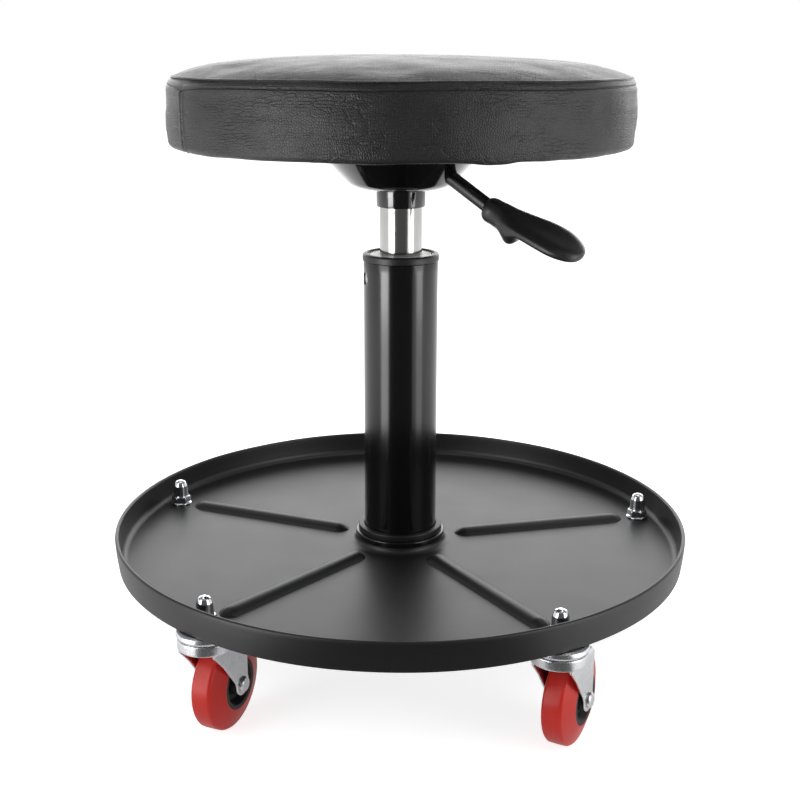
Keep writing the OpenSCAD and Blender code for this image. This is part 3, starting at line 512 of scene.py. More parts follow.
@finish_of
def leatherette(panel):
    """Embossed PVC leatherette: a fine pebble grain, soft creases along its pull, a dull sheen, and painted
    shade in the grain's grooves, the creases and the stitched joint.
    """
    base = tuple(bpy.context.scene.seat_sizes.vinyl)
    m, t, s = surface("Embossed PVC leatherette, " + panel, Roughness=0.42, IOR=1.5,
                      Specular_IOR_Level=0.42)
    # Pebbles of the real cover are about 0.9 mm wide, and 1.5 mm is what this picture can show.
    cell = 1.5 * MM
    edges = {"voronoi_dimensions": "2D", "feature": "DISTANCE_TO_EDGE"}
    flat = place_of(t, uv=True)
    groove = add(t, "ShaderNodeTexVoronoi", edges,
                 {"Vector": flat, "Scale": 1 / cell, "Randomness": 0.95}).outputs["Distance"]
    pebble = between(t, groove, 0.0, 0.3, 0.0, 1.0)
    # Creases run level and zigzag: 6 to 12 mm long, 1.5 to 3 mm apart, in patches.
    wide, tall, deep = (6.2, 1.25, 0.00027) if panel == "side" else (14, 5, 0.00022)
    grain, swell, lump = (0.00013, 0.0008, 9 * MM) if panel == "side" else (0.00012, 0.001, 26 * MM)
    level = place_of(t, uv=True, scale=(1 / wide, 1 / tall, 1))
    jitter = noise_of(t, flat, 2.6 * MM, 1.0)
    level = add(t, "ShaderNodeVectorMath", {"operation": "ADD"},
                {0: level, 1: maths(t, "MULTIPLY", jitter, 0.65 * MM)}).outputs[0]
    cells = add(t, "ShaderNodeTexVoronoi", edges,
                {"Vector": level, "Scale": 1 / cell, "Randomness": 1.0}).outputs["Distance"]
    line = between(t, cells, 0.0, 0.16, 0.0, 1.0)
    patch = noise_of(t, place_of(t, uv=True, scale=(0.4, 1.1, 1)), 15 * MM, 2.0)
    patch = between(t, patch, 0.42, 0.62, 1.0, 0.0)
    crease = maths(t, "MAXIMUM", line, patch)
    normal = bump(t, s, pebble, grain, 0.9)
    normal = bump(t, s, noise_of(t, flat, lump, 2.0), swell, 0.3, normal)
    bump(t, s, crease, deep, 0.8, normal)
    worn = noise_of(t, place_of(t, uv=True), 30 * MM, 3.0)
    t.links.new(between(t, worn, 0.3, 0.7, 0.36, 0.45), s.inputs["Roughness"])
    # Painted shade: the colour darkens in the grooves of the pebble grain and along the crease lines.
    free_of_painted_shade = maths(t, "MULTIPLY", between(t, pebble, 0.0, 1.0, 0.5, 1.0),
                    between(t, crease, 0.0, 1.0, 0.25, 1.0))
    if panel == "side":
        # The stitched joint stands at both ends of the panel's length: painted shade darkens the cover where
        # the thread pulls it into its groove.
        seat = bpy.context.scene.seat_sizes
        u = add(t, "ShaderNodeSeparateXYZ", (), {0: flat}).outputs["X"]
        apart = maths(t, "MINIMUM", u, maths(t, "SUBTRACT", TAU * seat.radius, u))
        free_of_painted_shade = maths(t, "MULTIPLY", free_of_painted_shade, between(t, apart, 0.8 * MM, 1.6 * MM, 0.0, 1.0))
    # The painted shade is mixed into the base colour: darker where the mask is low.
    t.links.new(mixed(t, free_of_painted_shade, shade(base, 0.2), base), s.inputs["Base Color"])
    return m


def painted(name, col, rough, lump, depth, coat=0.0, dust=0.0):
    """Sprayed finish over metal: the lumps of its skin, a roughness that changes slowly, a little dust."""
    m, t, s = surface(name, Base_Color=col, Roughness=rough, IOR=1.5, Coat_Weight=coat, Coat_Roughness=0.06)
    where = place_of(t)
    normal = bump(t, s, noise_of(t, where, lump, 2.0), depth, 0.5)
    if depth:
        bump(t, s, noise_of(t, where, lump * 9, 2.0), depth * 2, 0.3, normal)
    slow = noise_of(t, where, 38 * MM, 4.0, 0.6)
    t.links.new(between(t, slow, 0.3, 0.75, rough * 0.96, min(1, rough * 1.05)), s.inputs["Roughness"])
    if dust:
        specks = noise_of(t, where, 1.4 * MM, 1.0)
        amount = between(t, specks, 0.72, 0.8, 0.0, dust)
        t.links.new(mixed(t, amount, col, shade(col, 5)), s.inputs["Base Color"])
    return m


@finish_of
def gloss_enamel():
    """Stoved gloss enamel on pressed steel: deep black, sharp reflections, a trace of orange peel."""
    return painted("Stoved black enamel", tuple(bpy.context.scene.lift_sizes.enamel), rough=0.13,
                   lump=1.6 * MM, depth=0.00001, coat=0.5)


@finish_of
def rod_enamel():
    """Half-gloss black enamel of the lever rod: one soft highlight along it."""
    return painted("Half-gloss black enamel", tuple(bpy.context.scene.lift_sizes.enamel), rough=0.34,
                   lump=1.2 * MM, depth=0.00001)


@finish_of
def powder_coat():
    """Black powder coat on tube: a fine orange peel that softens the edges of each reflection."""
    return painted("Black powder coat", tuple(bpy.context.scene.lift_sizes.powder), rough=0.17,
                   lump=1.1 * MM, depth=0.000008)


@finish_of
def tray_paint():
    """Satin black powder coat on deep-drawn sheet: broad soft reflections and a fine dry texture."""
    return painted("Satin black powder coat", tuple(bpy.context.scene.tray_sizes.paint), rough=0.42,
                   lump=0.8 * MM, depth=0.000012, dust=0.05)


def metal(name, col, rough, stretch, line, depth, tint=None):
    """Bare or plated metal with the marks of its tool along one direction."""
    m, t, s = surface(name, Base_Color=col, Metallic=1.0, Roughness=rough)
    marks = noise_of(t, place_of(t, scale=stretch), line, 4.0, 0.65)
    t.links.new(between(t, marks, 0.3, 0.7, rough * 0.9, rough * 1.12), s.inputs["Roughness"])
    bump(t, s, marks, depth, 0.5)
    cloud = noise_of(t, place_of(t), 9 * MM, 3.0)
    t.links.new(mixed(t, between(t, cloud, 0.35, 0.7, 0.0, 0.6), col, tint or shade(col, 0.9)),
                s.inputs["Base Color"])
    return m


@finish_of
def bright_zinc():
    """Bright zinc plate on pressed steel: white metal, drawn marks, faint cool and warm clouds."""
    col = tuple(bpy.context.scene.caster_sizes.zinc)
    return metal("Bright zinc plate", col, rough=0.27, stretch=(1, 1, 0.16), line=1.8 * MM, depth=0.000002,
                 tint=linear("#cfd0d3"))


@finish_of
def polished_chrome():
    """Polished nickel chrome on the dome nuts: mirror clear, a trace cool."""
    return metal("Polished chrome", linear("#dfe1e5"), rough=0.07, stretch=(1, 1, 1), line=3 * MM,
                 depth=0.000004)


@finish_of
def ground_chrome():
    """Hard chrome on a centreless ground tube: fine rings round the tube spread each reflection upwards."""
    col = tuple(bpy.context.scene.lift_sizes.chrome)
    return metal("Ground hard chrome", col, rough=0.16, stretch=(0.12, 0.12, 6), line=1.2 * MM,
                 depth=0.000008)


@finish_of
def bearing_steel():
    """Hardened ball and washer steel: ground, grey, lightly oiled."""
    return metal("Bearing steel", linear("#b4b5b8"), rough=0.2, stretch=(1, 1, 3), line=1 * MM,
                 depth=0.00001)


@finish_of
def spring_steel():
    """Blued spring steel of the retaining clip."""
    return metal("Blued spring steel", linear("#55585e"), rough=0.35, stretch=(1, 1, 1), line=1.5 * MM,
                 depth=0.00002)


LATHE = (0.3, 0.3, 8)       # marks that a lathe tool leaves round a piece


@finish_of
def turned_aluminium():
    """Turned aluminium of the piston: fine rings from the lathe tool."""
    return metal("Turned aluminium", linear("#b9babd"), rough=0.3, stretch=LATHE, line=1 * MM, depth=0.00003)


@finish_of
def turned_brass():
    """Turned brass of the valve block and the ball cage, dulled by oil."""
    return metal("Turned brass", linear("#b5944c"), rough=0.3, stretch=LATHE, line=1 * MM, depth=0.00003,
                 tint=linear("#94773a"))


def moulded(name, col, rough, grain, depth, **more):
    """Moulded plastic or rubber: the texture of its mould and slow changes of gloss."""
    m, t, s = surface(name, Base_Color=col, Roughness=rough, IOR=1.5, **more)
    where = place_of(t)
    texture = noise_of(t, where, grain, 3.0, 0.7)
    normal = bump(t, s, texture, depth, 0.7)
    bump(t, s, noise_of(t, where, 14 * MM, 2.0), depth * 4, 0.25, normal)
    slow = noise_of(t, where, 11 * MM, 3.0)
    t.links.new(between(t, slow, 0.3, 0.7, rough * 0.86, rough * 1.16), s.inputs["Roughness"])
    t.links.new(mixed(t, between(t, texture, 0.35, 0.7, 0.0, 0.5), col, shade(col, 1.3)),
                s.inputs["Base Color"])
    return m


@finish_of
def grip_plastic():
    """Moulded polypropylene grip: spark-eroded skin, black, satin."""
    return moulded("Black polypropylene", tuple(bpy.context.scene.lift_sizes.grip), rough=0.36,
                   grain=0.7 * MM, depth=0.00004)


@finish_of
def acetal():
    """White acetal of the guide bushing: smooth, waxy, slightly grey from the mould."""
    return moulded("White acetal", linear("#dcdad2"), rough=0.4, grain=1.2 * MM, depth=0.00001,
                   Subsurface_Weight=0.05)


@finish_of
def nylon():
    """Black polyamide core of the wheel: matt mould skin."""
    return moulded("Black polyamide", linear("#0b0b0c"), rough=0.56, grain=0.9 * MM, depth=0.00003)


@finish_of
def polyurethane():
    """Cast red polyurethane tyre: smooth and waxy, with faint flow clouds and a scuffed tread."""
    col = tuple(bpy.context.scene.caster_sizes.red)
    m, t, s = surface("Red polyurethane", Base_Color=col, Roughness=0.33, IOR=1.5,
                      Specular_IOR_Level=0.36)
    where = place_of(t)
    cloud = noise_of(t, where, 12 * MM, 3.0)
    scuff = between(t, noise_of(t, place_of(t, scale=(1, 1, 0.25)), 1.5 * MM, 5.0, 0.7), 0.55, 0.75, 0.0, 0.3)
    red = mixed(t, between(t, cloud, 0.3, 0.7, 0.0, 0.25), col, shade(col, 0.82))
    t.links.new(mixed(t, scuff, red, shade(col, 1.12)), s.inputs["Base Color"])
    t.links.new(between(t, cloud, 0.3, 0.7, 0.31, 0.36), s.inputs["Roughness"])
    bump(t, s, noise_of(t, where, 1.2 * MM, 3.0), 0.000012, 0.4)
    return m


@finish_of
def bumper_rubber():
    """Nitrile rubber of the bumper: matt, nearly black."""
    return moulded("Nitrile rubber", linear("#232325"), rough=0.7, grain=0.6 * MM, depth=0.00005)


@finish_of
def foam():
    """Open cell polyurethane foam: pale yellow, full of small pores."""
    m, t, s = surface("Open cell foam", Roughness=0.9)
    pores = add(t, "ShaderNodeTexVoronoi", (), {"Vector": place_of(t), "Scale": 1 / (1.4 * MM)}).outputs[0]
    t.links.new(mixed(t, pores, linear("#8f8350"), linear("#dccf96")), s.inputs["Base Color"])
    bump(t, s, pores, 0.0006, 0.9)
    return m


@finish_of
def plywood():
    """Sanded birch plywood: long fibres on the faces, darker glue lines along the edge."""
    m, t, s = surface("Birch plywood", Roughness=0.62)
    fibre = noise_of(t, place_of(t, scale=(1, 0.06, 1)), 1.3 * MM, 5.0, 0.6)
    wood = mixed(t, fibre, linear("#a87f4c"), linear("#d3ae78"))
    plies = add(t, "ShaderNodeTexWave", {"wave_type": "BANDS", "bands_direction": "Z"},
                {"Vector": place_of(t), "Scale": TAU / (2.4 * MM) / 20, "Distortion": 0.3}).outputs["Fac"]
    t.links.new(mixed(t, between(t, plies, 0.86, 0.97, 0.0, 0.5), wood, linear("#6a4a2a")),
                s.inputs["Base Color"])
    bump(t, s, fibre, 0.0001, 0.6)
    return m


@finish_of
def dust_fabric():
    """Spunbond dust cloth: a matt black felt of fibres with rows of small bond points."""
    m, t, s = surface("Spunbond dust cloth", Roughness=0.88)
    where = place_of(t)
    fibres = noise_of(t, where, 0.7 * MM, 6.0, 0.75)
    points = add(t, "ShaderNodeTexVoronoi", {"voronoi_dimensions": "2D"},
                 {"Vector": where, "Scale": 1 / (2.2 * MM), "Randomness": 0.12}).outputs[0]
    t.links.new(mixed(t, fibres, linear("#0d0d0e"), linear("#2d2d30")), s.inputs["Base Color"])
    normal = bump(t, s, points, 0.0003, 0.6)
    bump(t, s, fibres, 0.0002, 0.7, normal)
    return m


@finish_of
def thread():
    """Bonded polyester thread: black, twisted, a little shinier than the cover."""
    col = tuple(bpy.context.scene.seat_sizes.yarn)
    m, t, s = surface("Bonded polyester thread", Base_Color=col, Roughness=0.5, Sheen_Weight=0.3)
    twist = noise_of(t, place_of(t), 0.5 * MM, 2.0)
    t.links.new(mixed(t, twist, col, shade(col, 2.2)), s.inputs["Base Color"])
    bump(t, s, twist, 0.0001, 0.6)
    return m


# ---------------------------------------------------------------- the padded seat

HEM_ROWS = 12               # rows of the cover between its hem and its foot
HANG_WIDTH = 11 * MM        # width over which the foot starts to hang
BELLY = 0.35 * MM           # fullness of the side at half its height
CLOSE_BELOW, CLOSE_ABOVE = 3 * MM, 1.6 * MM     # the rows lie close together round the seam


def ease(t):
    """A smooth step from 0 to 1."""
    return t * t * (3 - 2 * t)


def bell(x, width, power=2):
    """A bell of height 1 whose half width is about the one given."""
    return np.exp(-(x / width) ** power)


def hum(u, v, seed):
    """Smooth noise between about -1 and 1 at a place of a sheet."""
    return noise.noise(Vector((u, v, seed)))


def cushion_profile(z):
    """Outline of the cover from hem to crown, its inside, the crease's row and the seam's height."""
    r, base, foot, top = z.radius, z.bottom, z.foot_round, z.bottom + z.side
    seam = top - z.seam_drop
    crown = high("seat_cover").z - top
    edge = r - z.draw_in - foot
    out = []
    for k in range(HEM_ROWS):
        x = z.hem + (edge - z.hem) * k / HEM_ROWS
        out.append((x, base - z.hang * ease(max(0.0, 1 - (edge - x) / HANG_WIDTH))))
    start = base - z.hang + foot
    out += [(edge + foot * math.sin(a), start - foot * math.cos(a)) for a in np.linspace(0, math.pi / 2, 9)]

    def side(h):
        if h > seam:
            return r - z.shoulder * ((h - seam) / (top - seam)) ** 1.5
        t = (h - start) / (seam - start)
        return r - z.draw_in * (1 - t) ** 1.6 + BELLY * math.sin(math.pi * t)
    marks = (start, seam - CLOSE_BELOW, seam + CLOSE_ABOVE, top)
    for h0, h1, count in zip(marks, marks[1:], (26, 25, 8)):
        out += [(side(h), h) for h in np.linspace(h0, h1, count)[1:]]
    ridge = len(out) - 1
    rt = side(top)
    angles = (math.pi / 2) * np.linspace(0, 1, 46)[1:] ** 1.7
    out += [(rt * math.cos(a), top + crown * math.sin(a)) for a in angles]
    out[-1] = (0.0, top + crown)
    c = z.cover
    inner = [((rt - c) * math.cos(a), top - c + crown * math.sin(a)) for a in np.linspace(math.pi / 2, 0, 9)]
    inner[0] = (0.0, top + crown - c)
    inner += [(r - c, seam), (r - z.draw_in - c, start), (edge + foot * 0.4, base - z.hang + c),
              (edge - 8 * MM, base + c), (z.hem + 0.2 * MM, base + c)]
    return np.array(out), np.array(inner), ridge, seam


# The pad under the cover before the air goes in: how much smaller it is, its cells and where it is held
PAD_SMALLER, PAD_LOWER, PAD_CELL, PAD_HELD = 3 * MM, 2.5 * MM, 5 * MM, 7 * MM
PAD_PRESSURE, PAD_FRAMES = 4.0, 20


def swelling(z):
    """Presses air into a slightly smaller cushion and gives how far each place of it moved, capped."""
    out = cushion_profile(z)[0]
    top = z.bottom + z.side
    shrunk = [(max(0.0, x - PAD_SMALLER) if x > 0.1 else x * 0.98, h - (PAD_LOWER if h > top else 0))
              for x, h in out[::3]]
    shrunk = [(0.0, z.bottom)] + shrunk + [(0.0, out[-1][1] - PAD_LOWER)]
    body = mesh_object("cushion_swell", turned(shrunk, 96, closed=False))
    m = body.modifiers.new("cells", "REMESH")
    m.mode, m.voxel_size = "VOXEL", PAD_CELL
    bake(body)
    rest = np.array([v.co for v in body.data.vertices])
    held = body.vertex_groups.new(name="held")
    held.add([v.index for v in body.data.vertices if v.co.z < z.bottom + PAD_HELD], 1.0, "REPLACE")
    cloth = body.modifiers.new("cloth", "CLOTH")
    cloth.settings.use_pressure = True
    cloth.settings.uniform_pressure_force = PAD_PRESSURE
    cloth.settings.vertex_group_mass = "held"
    cloth.settings.effector_weights.gravity = 0
    cloth.settings.quality = 6
    cloth.point_cache.frame_start, cloth.point_cache.frame_end = 1, PAD_FRAMES
    scene = bpy.context.scene
    for f in range(1, PAD_FRAMES + 1):
        scene.frame_set(f)
        scene.view_layers[0].update()
    dg = bpy.context.evaluated_depsgraph_get()
    data = bpy.data.meshes.new_from_object(body.evaluated_get(dg))
    grown = np.array([v.co for v in data.vertices])
    bpy.data.objects.remove(body)
    scene.frame_set(1)
    shift = grown - rest
    size = np.linalg.norm(shift, axis=1, keepdims=True)
    return rest, shift * np.minimum(1, z.swell / np.maximum(size, 1e-9))


def spread(points, rest, shift):
    """The movement of the ten nearest simulated places at each point, weighted by how near they are."""
    tree = KDTree(len(rest))
    for i, p in enumerate(rest):
        tree.insert(p, i)
    tree.balance()
    out = np.zeros_like(points)
    for k, p in enumerate(points):
        found = tree.find_n(p, 10)
        w = np.array([1 / (d + 2 * MM) for _, _, d in found])
        out[k] = (shift[[i for _, i, _ in found]] * w[:, None]).sum(0) / w.sum()
    return out


# Columns of the cover round the seat and at its joint, with the directions between which each kind lies
COLUMNS, FIRST_COLUMN = 372, 2.6
JOINT_COLUMNS, JOINT_SPAN = 37, 2.4
JOINT_WANDER, JOINT_WAVE = 0.8 * MM, 7 * MM
# The seam: its wander, its dip at the joint and how far that reaches, and its slope over the whole seat
SEAM_WANDER, SEAM_DIP, DIP_REACH, SEAM_SLOPE, SEAM_WINDOW = 0.55 * MM, 3.2 * MM, 16 * MM, 0.5 * MM, 9 * MM
GROOVE_WIDTH = 0.55 * MM
# Beads of the cover: height, distance above the seam and half width
SEAM_BEADS = ((0.28 * MM, 2.6 * MM, 1.6 * MM), (0.22 * MM, -2.4 * MM, 1.8 * MM))
JOINT_BEAD = (0.3 * MM, 2.6 * MM, 1.7 * MM)
JOINT_GROOVE, JOINT_WIDTH = 1.1 * MM, 0.62 * MM
CREASE_BEAD = (0.26 * MM, 0.6 * MM, 0.8 * MM)
# Slow waves of the vinyl: size, length along, length across, seed
SIDE_WAVES = ((0.30 * MM, 34 * MM, 5.2 * MM, 0.5), (0.22 * MM, 75 * MM, 16 * MM, 7.5))
CROWN_WAVES = ((0.5 * MM, 60 * MM, 35 * MM, 2.5), (0.16 * MM, 30 * MM, 11 * MM, 5.5))
CALM_EDGE = 15 * MM
# The corner leans further in on the side of the joint
LEAN, LEAN_AT, LEAN_WIDTH, LEAN_FROM = 1.5 * MM, math.radians(195), math.radians(48), 108 * MM
# The foot sags once at the front right, and is pulled over the board in pleats: size, lumps, seed
SAG, SAG_AT, SAG_WIDTH = 0.8 * MM, math.radians(-64.5), math.radians(4.2)
PLEATS = ((0.35 * MM, 9, 1.5), (0.55 * MM, 3.5, 4.5))
FOOT_HEIGHT, FOOT_START, FOOT_WIDTH = 9 * MM, 13 * MM, 8 * MM
HEM_FOLDS = ((0.54 * MM, 11, 0.3, 9.5), (0.27 * MM, 27, 0.7, 6.5))
HEM_EDGE = 3 * MM
# The share of the swelling that shows, and what the tight cover takes back at the side and on the crown
SWELL_SHOWN, SIDE_BACK, CROWN_BACK, LOOSE_FROM = 0.3, 0.5 * MM, 0.95 * MM, 14 * MM
FOAM_SLACK = 0.5 * MM
THREAD_SUNK = 0.12 * MM


class Cover:
    """The cover as a grid: a column for each direction and a row for each point of its outline."""

    def __init__(self, z):
        self.z = z
        self.out, self.inner, self.ridge, self.seam = cushion_profile(z)
        self.top, self.foot_z = z.bottom + z.side, z.bottom + z.foot_round
        near = np.radians(np.linspace(-JOINT_SPAN, JOINT_SPAN, JOINT_COLUMNS))
        far = np.linspace(FIRST_COLUMN, 360 - FIRST_COLUMN, COLUMNS) * math.pi / 180
        self.turns = np.sort(np.concatenate([far, near % TAU]))
        self.n, self.m = len(self.turns), len(self.out)
        self.nose, self.rise = self.grid(self.out)
        self.span = np.concatenate([[0], np.cumsum(np.linalg.norm(np.diff(self.out, axis=0), axis=1))])
        a = self.turns[:, None]
        self.world = z.joint + a
        # Distance from the joint along the side, with the joint's own slight wander.
        gap = np.minimum(a, TAU - a) * np.where(a < math.pi, 1, -1) * z.radius
        self.gap = gap - JOINT_WANDER * np.sin((self.rise - z.bottom) / JOINT_WAVE)
        self.upright = (np.arange(self.m) <= self.ridge)[None, :]
        # Normal of the outline, to push the surface in and out.
        tangent = np.gradient(self.out, axis=0)
        tangent /= np.linalg.norm(tangent, axis=1, keepdims=True)
        self.nr, self.nz = tangent[:, 1][None, :], -tangent[:, 0][None, :]

    def grid(self, outline):
        """Radius and height of an outline's points in every direction."""
        return (outline[:, k][None, :].repeat(self.n, 0) for k in (0, 1))

    def placed(self, nose, rise):
        """Places of a grid of radii and heights."""
        return np.stack([nose * np.cos(self.world), nose * np.sin(self.world), rise + 0 * self.world], 2)

    def off(self, middle):
        """Turn of each direction from one, between half a turn back and half a turn on."""
        return (self.world - middle + math.pi) % TAU - math.pi

    def ripple(self, waves):
        """Waves round the seat, each with its size, its lumps and its seed."""
        return np.array([sum(size * hum(k * math.cos(t), k * math.sin(t), seed) for size, k, seed in waves)
                         for t in self.turns])[:, None]

    def draw_seam(self):
        """Lets the seam dip at the joint and wander a little round the seat, and gives its height."""
        wander = self.ripple([(SEAM_WANDER, 2.2, 3.1)])
        dip = (-SEAM_DIP * np.exp(-np.abs(self.gap) / DIP_REACH)
               - SEAM_SLOPE * (1 - np.cos(self.world + math.pi / 2)) / 2)
        window = ease(np.clip(1 - np.abs(self.rise - self.seam) / SEAM_WINDOW, 0, 1))
        window[:, self.ridge:] = 0
        self.rise = self.rise + (wander + dip) * window
        return self.seam + wander + dip

    def sewing(self, line):
        """How far the seam, the joint and the crease push the surface out."""
        rise, z = self.rise, self.z
        on_side = (self.out[:, 1] > self.foot_z - 4 * MM)[None, :] & self.upright
        sewn = -z.groove * bell(rise - line, GROOVE_WIDTH)
        for size, away, width in SEAM_BEADS:
            sewn = sewn + size * bell(rise - line - away, width)
        size, away, width = JOINT_BEAD
        joint = size * bell(np.abs(self.gap) - away, width) - JOINT_GROOVE * bell(self.gap, JOINT_WIDTH)
        size, away, width = CREASE_BEAD
        arc = self.span[None, :] - self.span[self.ridge]
        return (np.where(on_side, sewn, 0) + np.where((rise < line) & on_side, joint, 0)
                + size * bell(arc - away, width))

    def waves(self):
        """Slow waves of the vinyl, calm at the hem and in the middle of the crown."""
        out, z = self.out, self.z
        waves = np.zeros((self.n, self.m))
        for i, t in enumerate(self.turns):
            for j in range(HEM_ROWS, self.m - 1):
                if j <= self.ridge:
                    u, v, kinds = t * z.radius, out[j, 1], SIDE_WAVES
                else:
                    u, v = out[j, 0] * math.cos(z.joint + t), out[j, 0] * math.sin(z.joint + t)
                    kinds = CROWN_WAVES
                waves[i, j] = sum(size * hum(u / a, v / b, seed) for size, a, b, seed in kinds)
        span = self.span
        return waves * np.clip(np.minimum(span - span[HEM_ROWS], span[-1] - span) / CALM_EDGE, 0, 1)[None, :]

    def leaned(self, x, h):
        """The radius of a point near the corner, with the cover's lean."""
        near_rim = np.clip((x - LEAN_FROM) / (self.z.radius - LEAN_FROM), 0, 1) ** 2
        high_up = np.clip((h - self.seam) / (self.top - self.seam), 0, 1) ** 1.3
        return x - LEAN * bell(self.off(LEAN_AT), LEAN_WIDTH) * near_rim * high_up

    def hang(self):
        """How far the foot and the hem hang down in pleats, folds and one sag."""
        out, z = self.out, self.z
        foot = np.clip(1 - (self.rise - z.bottom) / FOOT_HEIGHT, 0, 1) * self.upright
        foot = foot * np.clip((out[:, 0] - (z.hem + FOOT_START)) / FOOT_WIDTH, 0, 1)[None, :]
        sag = SAG * bell(self.off(SAG_AT), SAG_WIDTH, 4)
        hem = np.clip((out[:, 0] - z.hem) / HEM_EDGE, 0, 1)[None, :] * (np.arange(self.m) < HEM_ROWS)[None, :]
        folds = np.array([sum(size * hum(t * k, v, seed) for size, k, v, seed in HEM_FOLDS)
                          for t in self.turns])[:, None]
        return foot * (sag + self.ripple(PLEATS)) + hem * np.abs(folds)

    def outside(self):
        """Places of the cover's outside, sewn, waved, hung and swollen."""
        push = self.sewing(self.draw_seam()) + self.waves()
        nose = self.leaned(self.nose, self.rise) + push * self.nr
        co = self.placed(nose, self.rise - self.hang() + push * self.nz)
        rest, shift = swelling(self.z)
        moved_by = spread(co.reshape(-1, 3), rest, shift).reshape(co.shape)
        # A third of the swelling shows: the rest only fills the foam up to the cover.
        loose = np.clip((co[..., 2] - self.foot_z) / LOOSE_FROM, 0, 1)[..., None]
        pull = (SIDE_BACK * self.nr ** 2 - CROWN_BACK * self.nz ** 2)[..., None]
        co += (SWELL_SHOWN * moved_by + pull * self.placed(self.nr, self.nz)) * loose
        co[:, -1] = co[:, -1].mean(0)
        return co

    def inside(self, outline):
        """Places of an outline that leans as the cover does."""
        nose, rise = self.grid(outline)
        return self.placed(self.leaned(nose, rise), rise)

    def panels(self, verts):
        """Faces of the cover, the flat place of each corner, and the panel: 0 at the side, 1 on the crown."""
        n, w, m, turns, r = self.n, verts.shape[1], self.m, self.turns, self.z.radius
        faces, maps, panels = [], [], []
        for i in range(n):
            i2 = (i + 1) % n
            u0, u1 = turns[i] * r, (turns[i2] if i2 else TAU + turns[0]) * r
            for j in range(w):
                j2 = (j + 1) % w
                faces.append((i * w + j, i2 * w + j, i2 * w + j2, i * w + j2))
                crown = self.ridge <= j < m - 1
                v0, v1 = self.span[min(j, m - 1)], self.span[min(j + 1, m - 1)]
                maps.append([tuple(verts[p, q, :2]) for p, q in ((i, j), (i2, j), (i2, j2), (i, j2))] if crown
                            else [(u0, v0), (u1, v0), (u1, v1), (u0, v1)])
                panels.append(int(crown))
        return faces, maps, panels


class SEAT_OT_cushion(bpy.types.Operator):
    """Builds the padded seat: its vinyl cover, puffed by a cloth simulation, with seam, joint and hem"""
    bl_idname = "work_seat.cushion"
    bl_label = "Padded seat"

    def execute(self, context):
        z = context.scene.seat_sizes
        cover = Cover(z)
        co = cover.outside()
        self.sew_cover(cover, co)
        self.fill_foam(cover)
        self.stitch(context, cover, co)
        return {"FINISHED"}

    def sew_cover(self, cover, co):
        """The cover, outside and inside, as one closed skin in two panels."""
        verts = np.concatenate([co, cover.inside(cover.inner)], 1)
        faces, maps, panels = cover.panels(verts)
        data = bpy.data.meshes.new("seat_cushion")
        data.from_pydata(verts.reshape(-1, 3).tolist(), [], faces)
        uv = data.uv_layers.new(name="panels")
        uv.data.foreach_set("uv", np.array(maps, np.float32).reshape(-1))
        data.polygons.foreach_set("material_index", np.array(panels, np.int32))
        bm = bmesh.new()
        bm.from_mesh(data)
        bmesh.ops.remove_doubles(bm, verts=bm.verts, dist=1e-7)
        bmesh.ops.recalc_face_normals(bm, faces=bm.faces)
        bm.to_mesh(data)
        bm.free()
        cushion = finished("seat_cushion", data, (leatherette("side"), leatherette("top")), sharp=60)
        seated(cushion, "seat", "black_vinyl", "seat_cover")

    def fill_foam(self, cover):
        """Foam that fills the cover down to the board."""
        inner, floor = cover.inner, low("seat_foam").z
        fill = [(0.0, floor), (inner[10, 0] - FOAM_SLACK, floor), (inner[9, 0] - FOAM_SLACK, cover.seam)]
        fill += [(max(0.0, x - FOAM_SLACK), h - FOAM_SLACK) for x, h in inner[8::-1]]
        n, f = cover.n, len(fill)
        sheets = [(i * f + j, (i + 1) % n * f + j, (i + 1) % n * f + j + 1, i * f + j + 1)
                  for i in range(n) for j in range(f - 1)]
        block = cover.inside(np.array(fill)).reshape(-1, 3)
        padding = mesh_object("seat_foam_block", (block, sheets), foam(), sharp=60)
        seated(padding, "seat", "foam", "seat_foam")

    def stitch(self, context, cover, co):
        """One thread along the seam and one along the joint, both sunk in their grooves."""
        z, out, n = cover.z, cover.out, cover.n
        seam_row = np.argmin(np.abs(out[:cover.ridge, 1] - cover.seam))
        ring = co[:, seam_row] * (1 - THREAD_SUNK / z.radius)
        ring[:, 2] = co[:, seam_row, 2]
        rows = [j for j in range(HEM_ROWS + 2, cover.ridge) if out[j, 1] < cover.seam - 0.5 * MM]
        joint = np.array([co[int(np.argmin(np.abs(cover.gap[:, j]))), j] for j in rows])
        for label, pts, edges in (("seam_thread", ring, [(i, (i + 1) % n) for i in range(n)]),
                                  ("joint_thread", joint, [(i, i + 1) for i in range(len(rows) - 1)])):
            line = bpy.data.meshes.new(label)
            line.from_pydata(pts.tolist(), edges, [])
            obj = bpy.data.objects.new(label, line)
            context.scene.collection.objects.link(obj)
            repeated(obj, stitch_tree, Pitch=z.stitch, Thread=z.thread / 2, Material=thread())
            seated(obj, "seat", "black_vinyl")


STAPLE_INSET, STAPLE_WIRE, STAPLE_HALF, STAPLE_LEG = 12 * MM, 0.45 * MM, 5 * MM, 0.9 * MM
SCREW_HEAD, HEAD_HEIGHT, SCREW_SHANK, SCREW_TIP = 5.5 * MM, 3 * MM, 3 * MM, 2.3 * MM
SLOT_LENGTH, SLOT_WIDTH, SLOT_DEPTH, SLOT_TURN = 5.8 * MM, 1.24 * MM, 1.5 * MM, 0.4
WASHER_BORE, WASHER_RADIUS = 3.1 * MM, 8 * MM


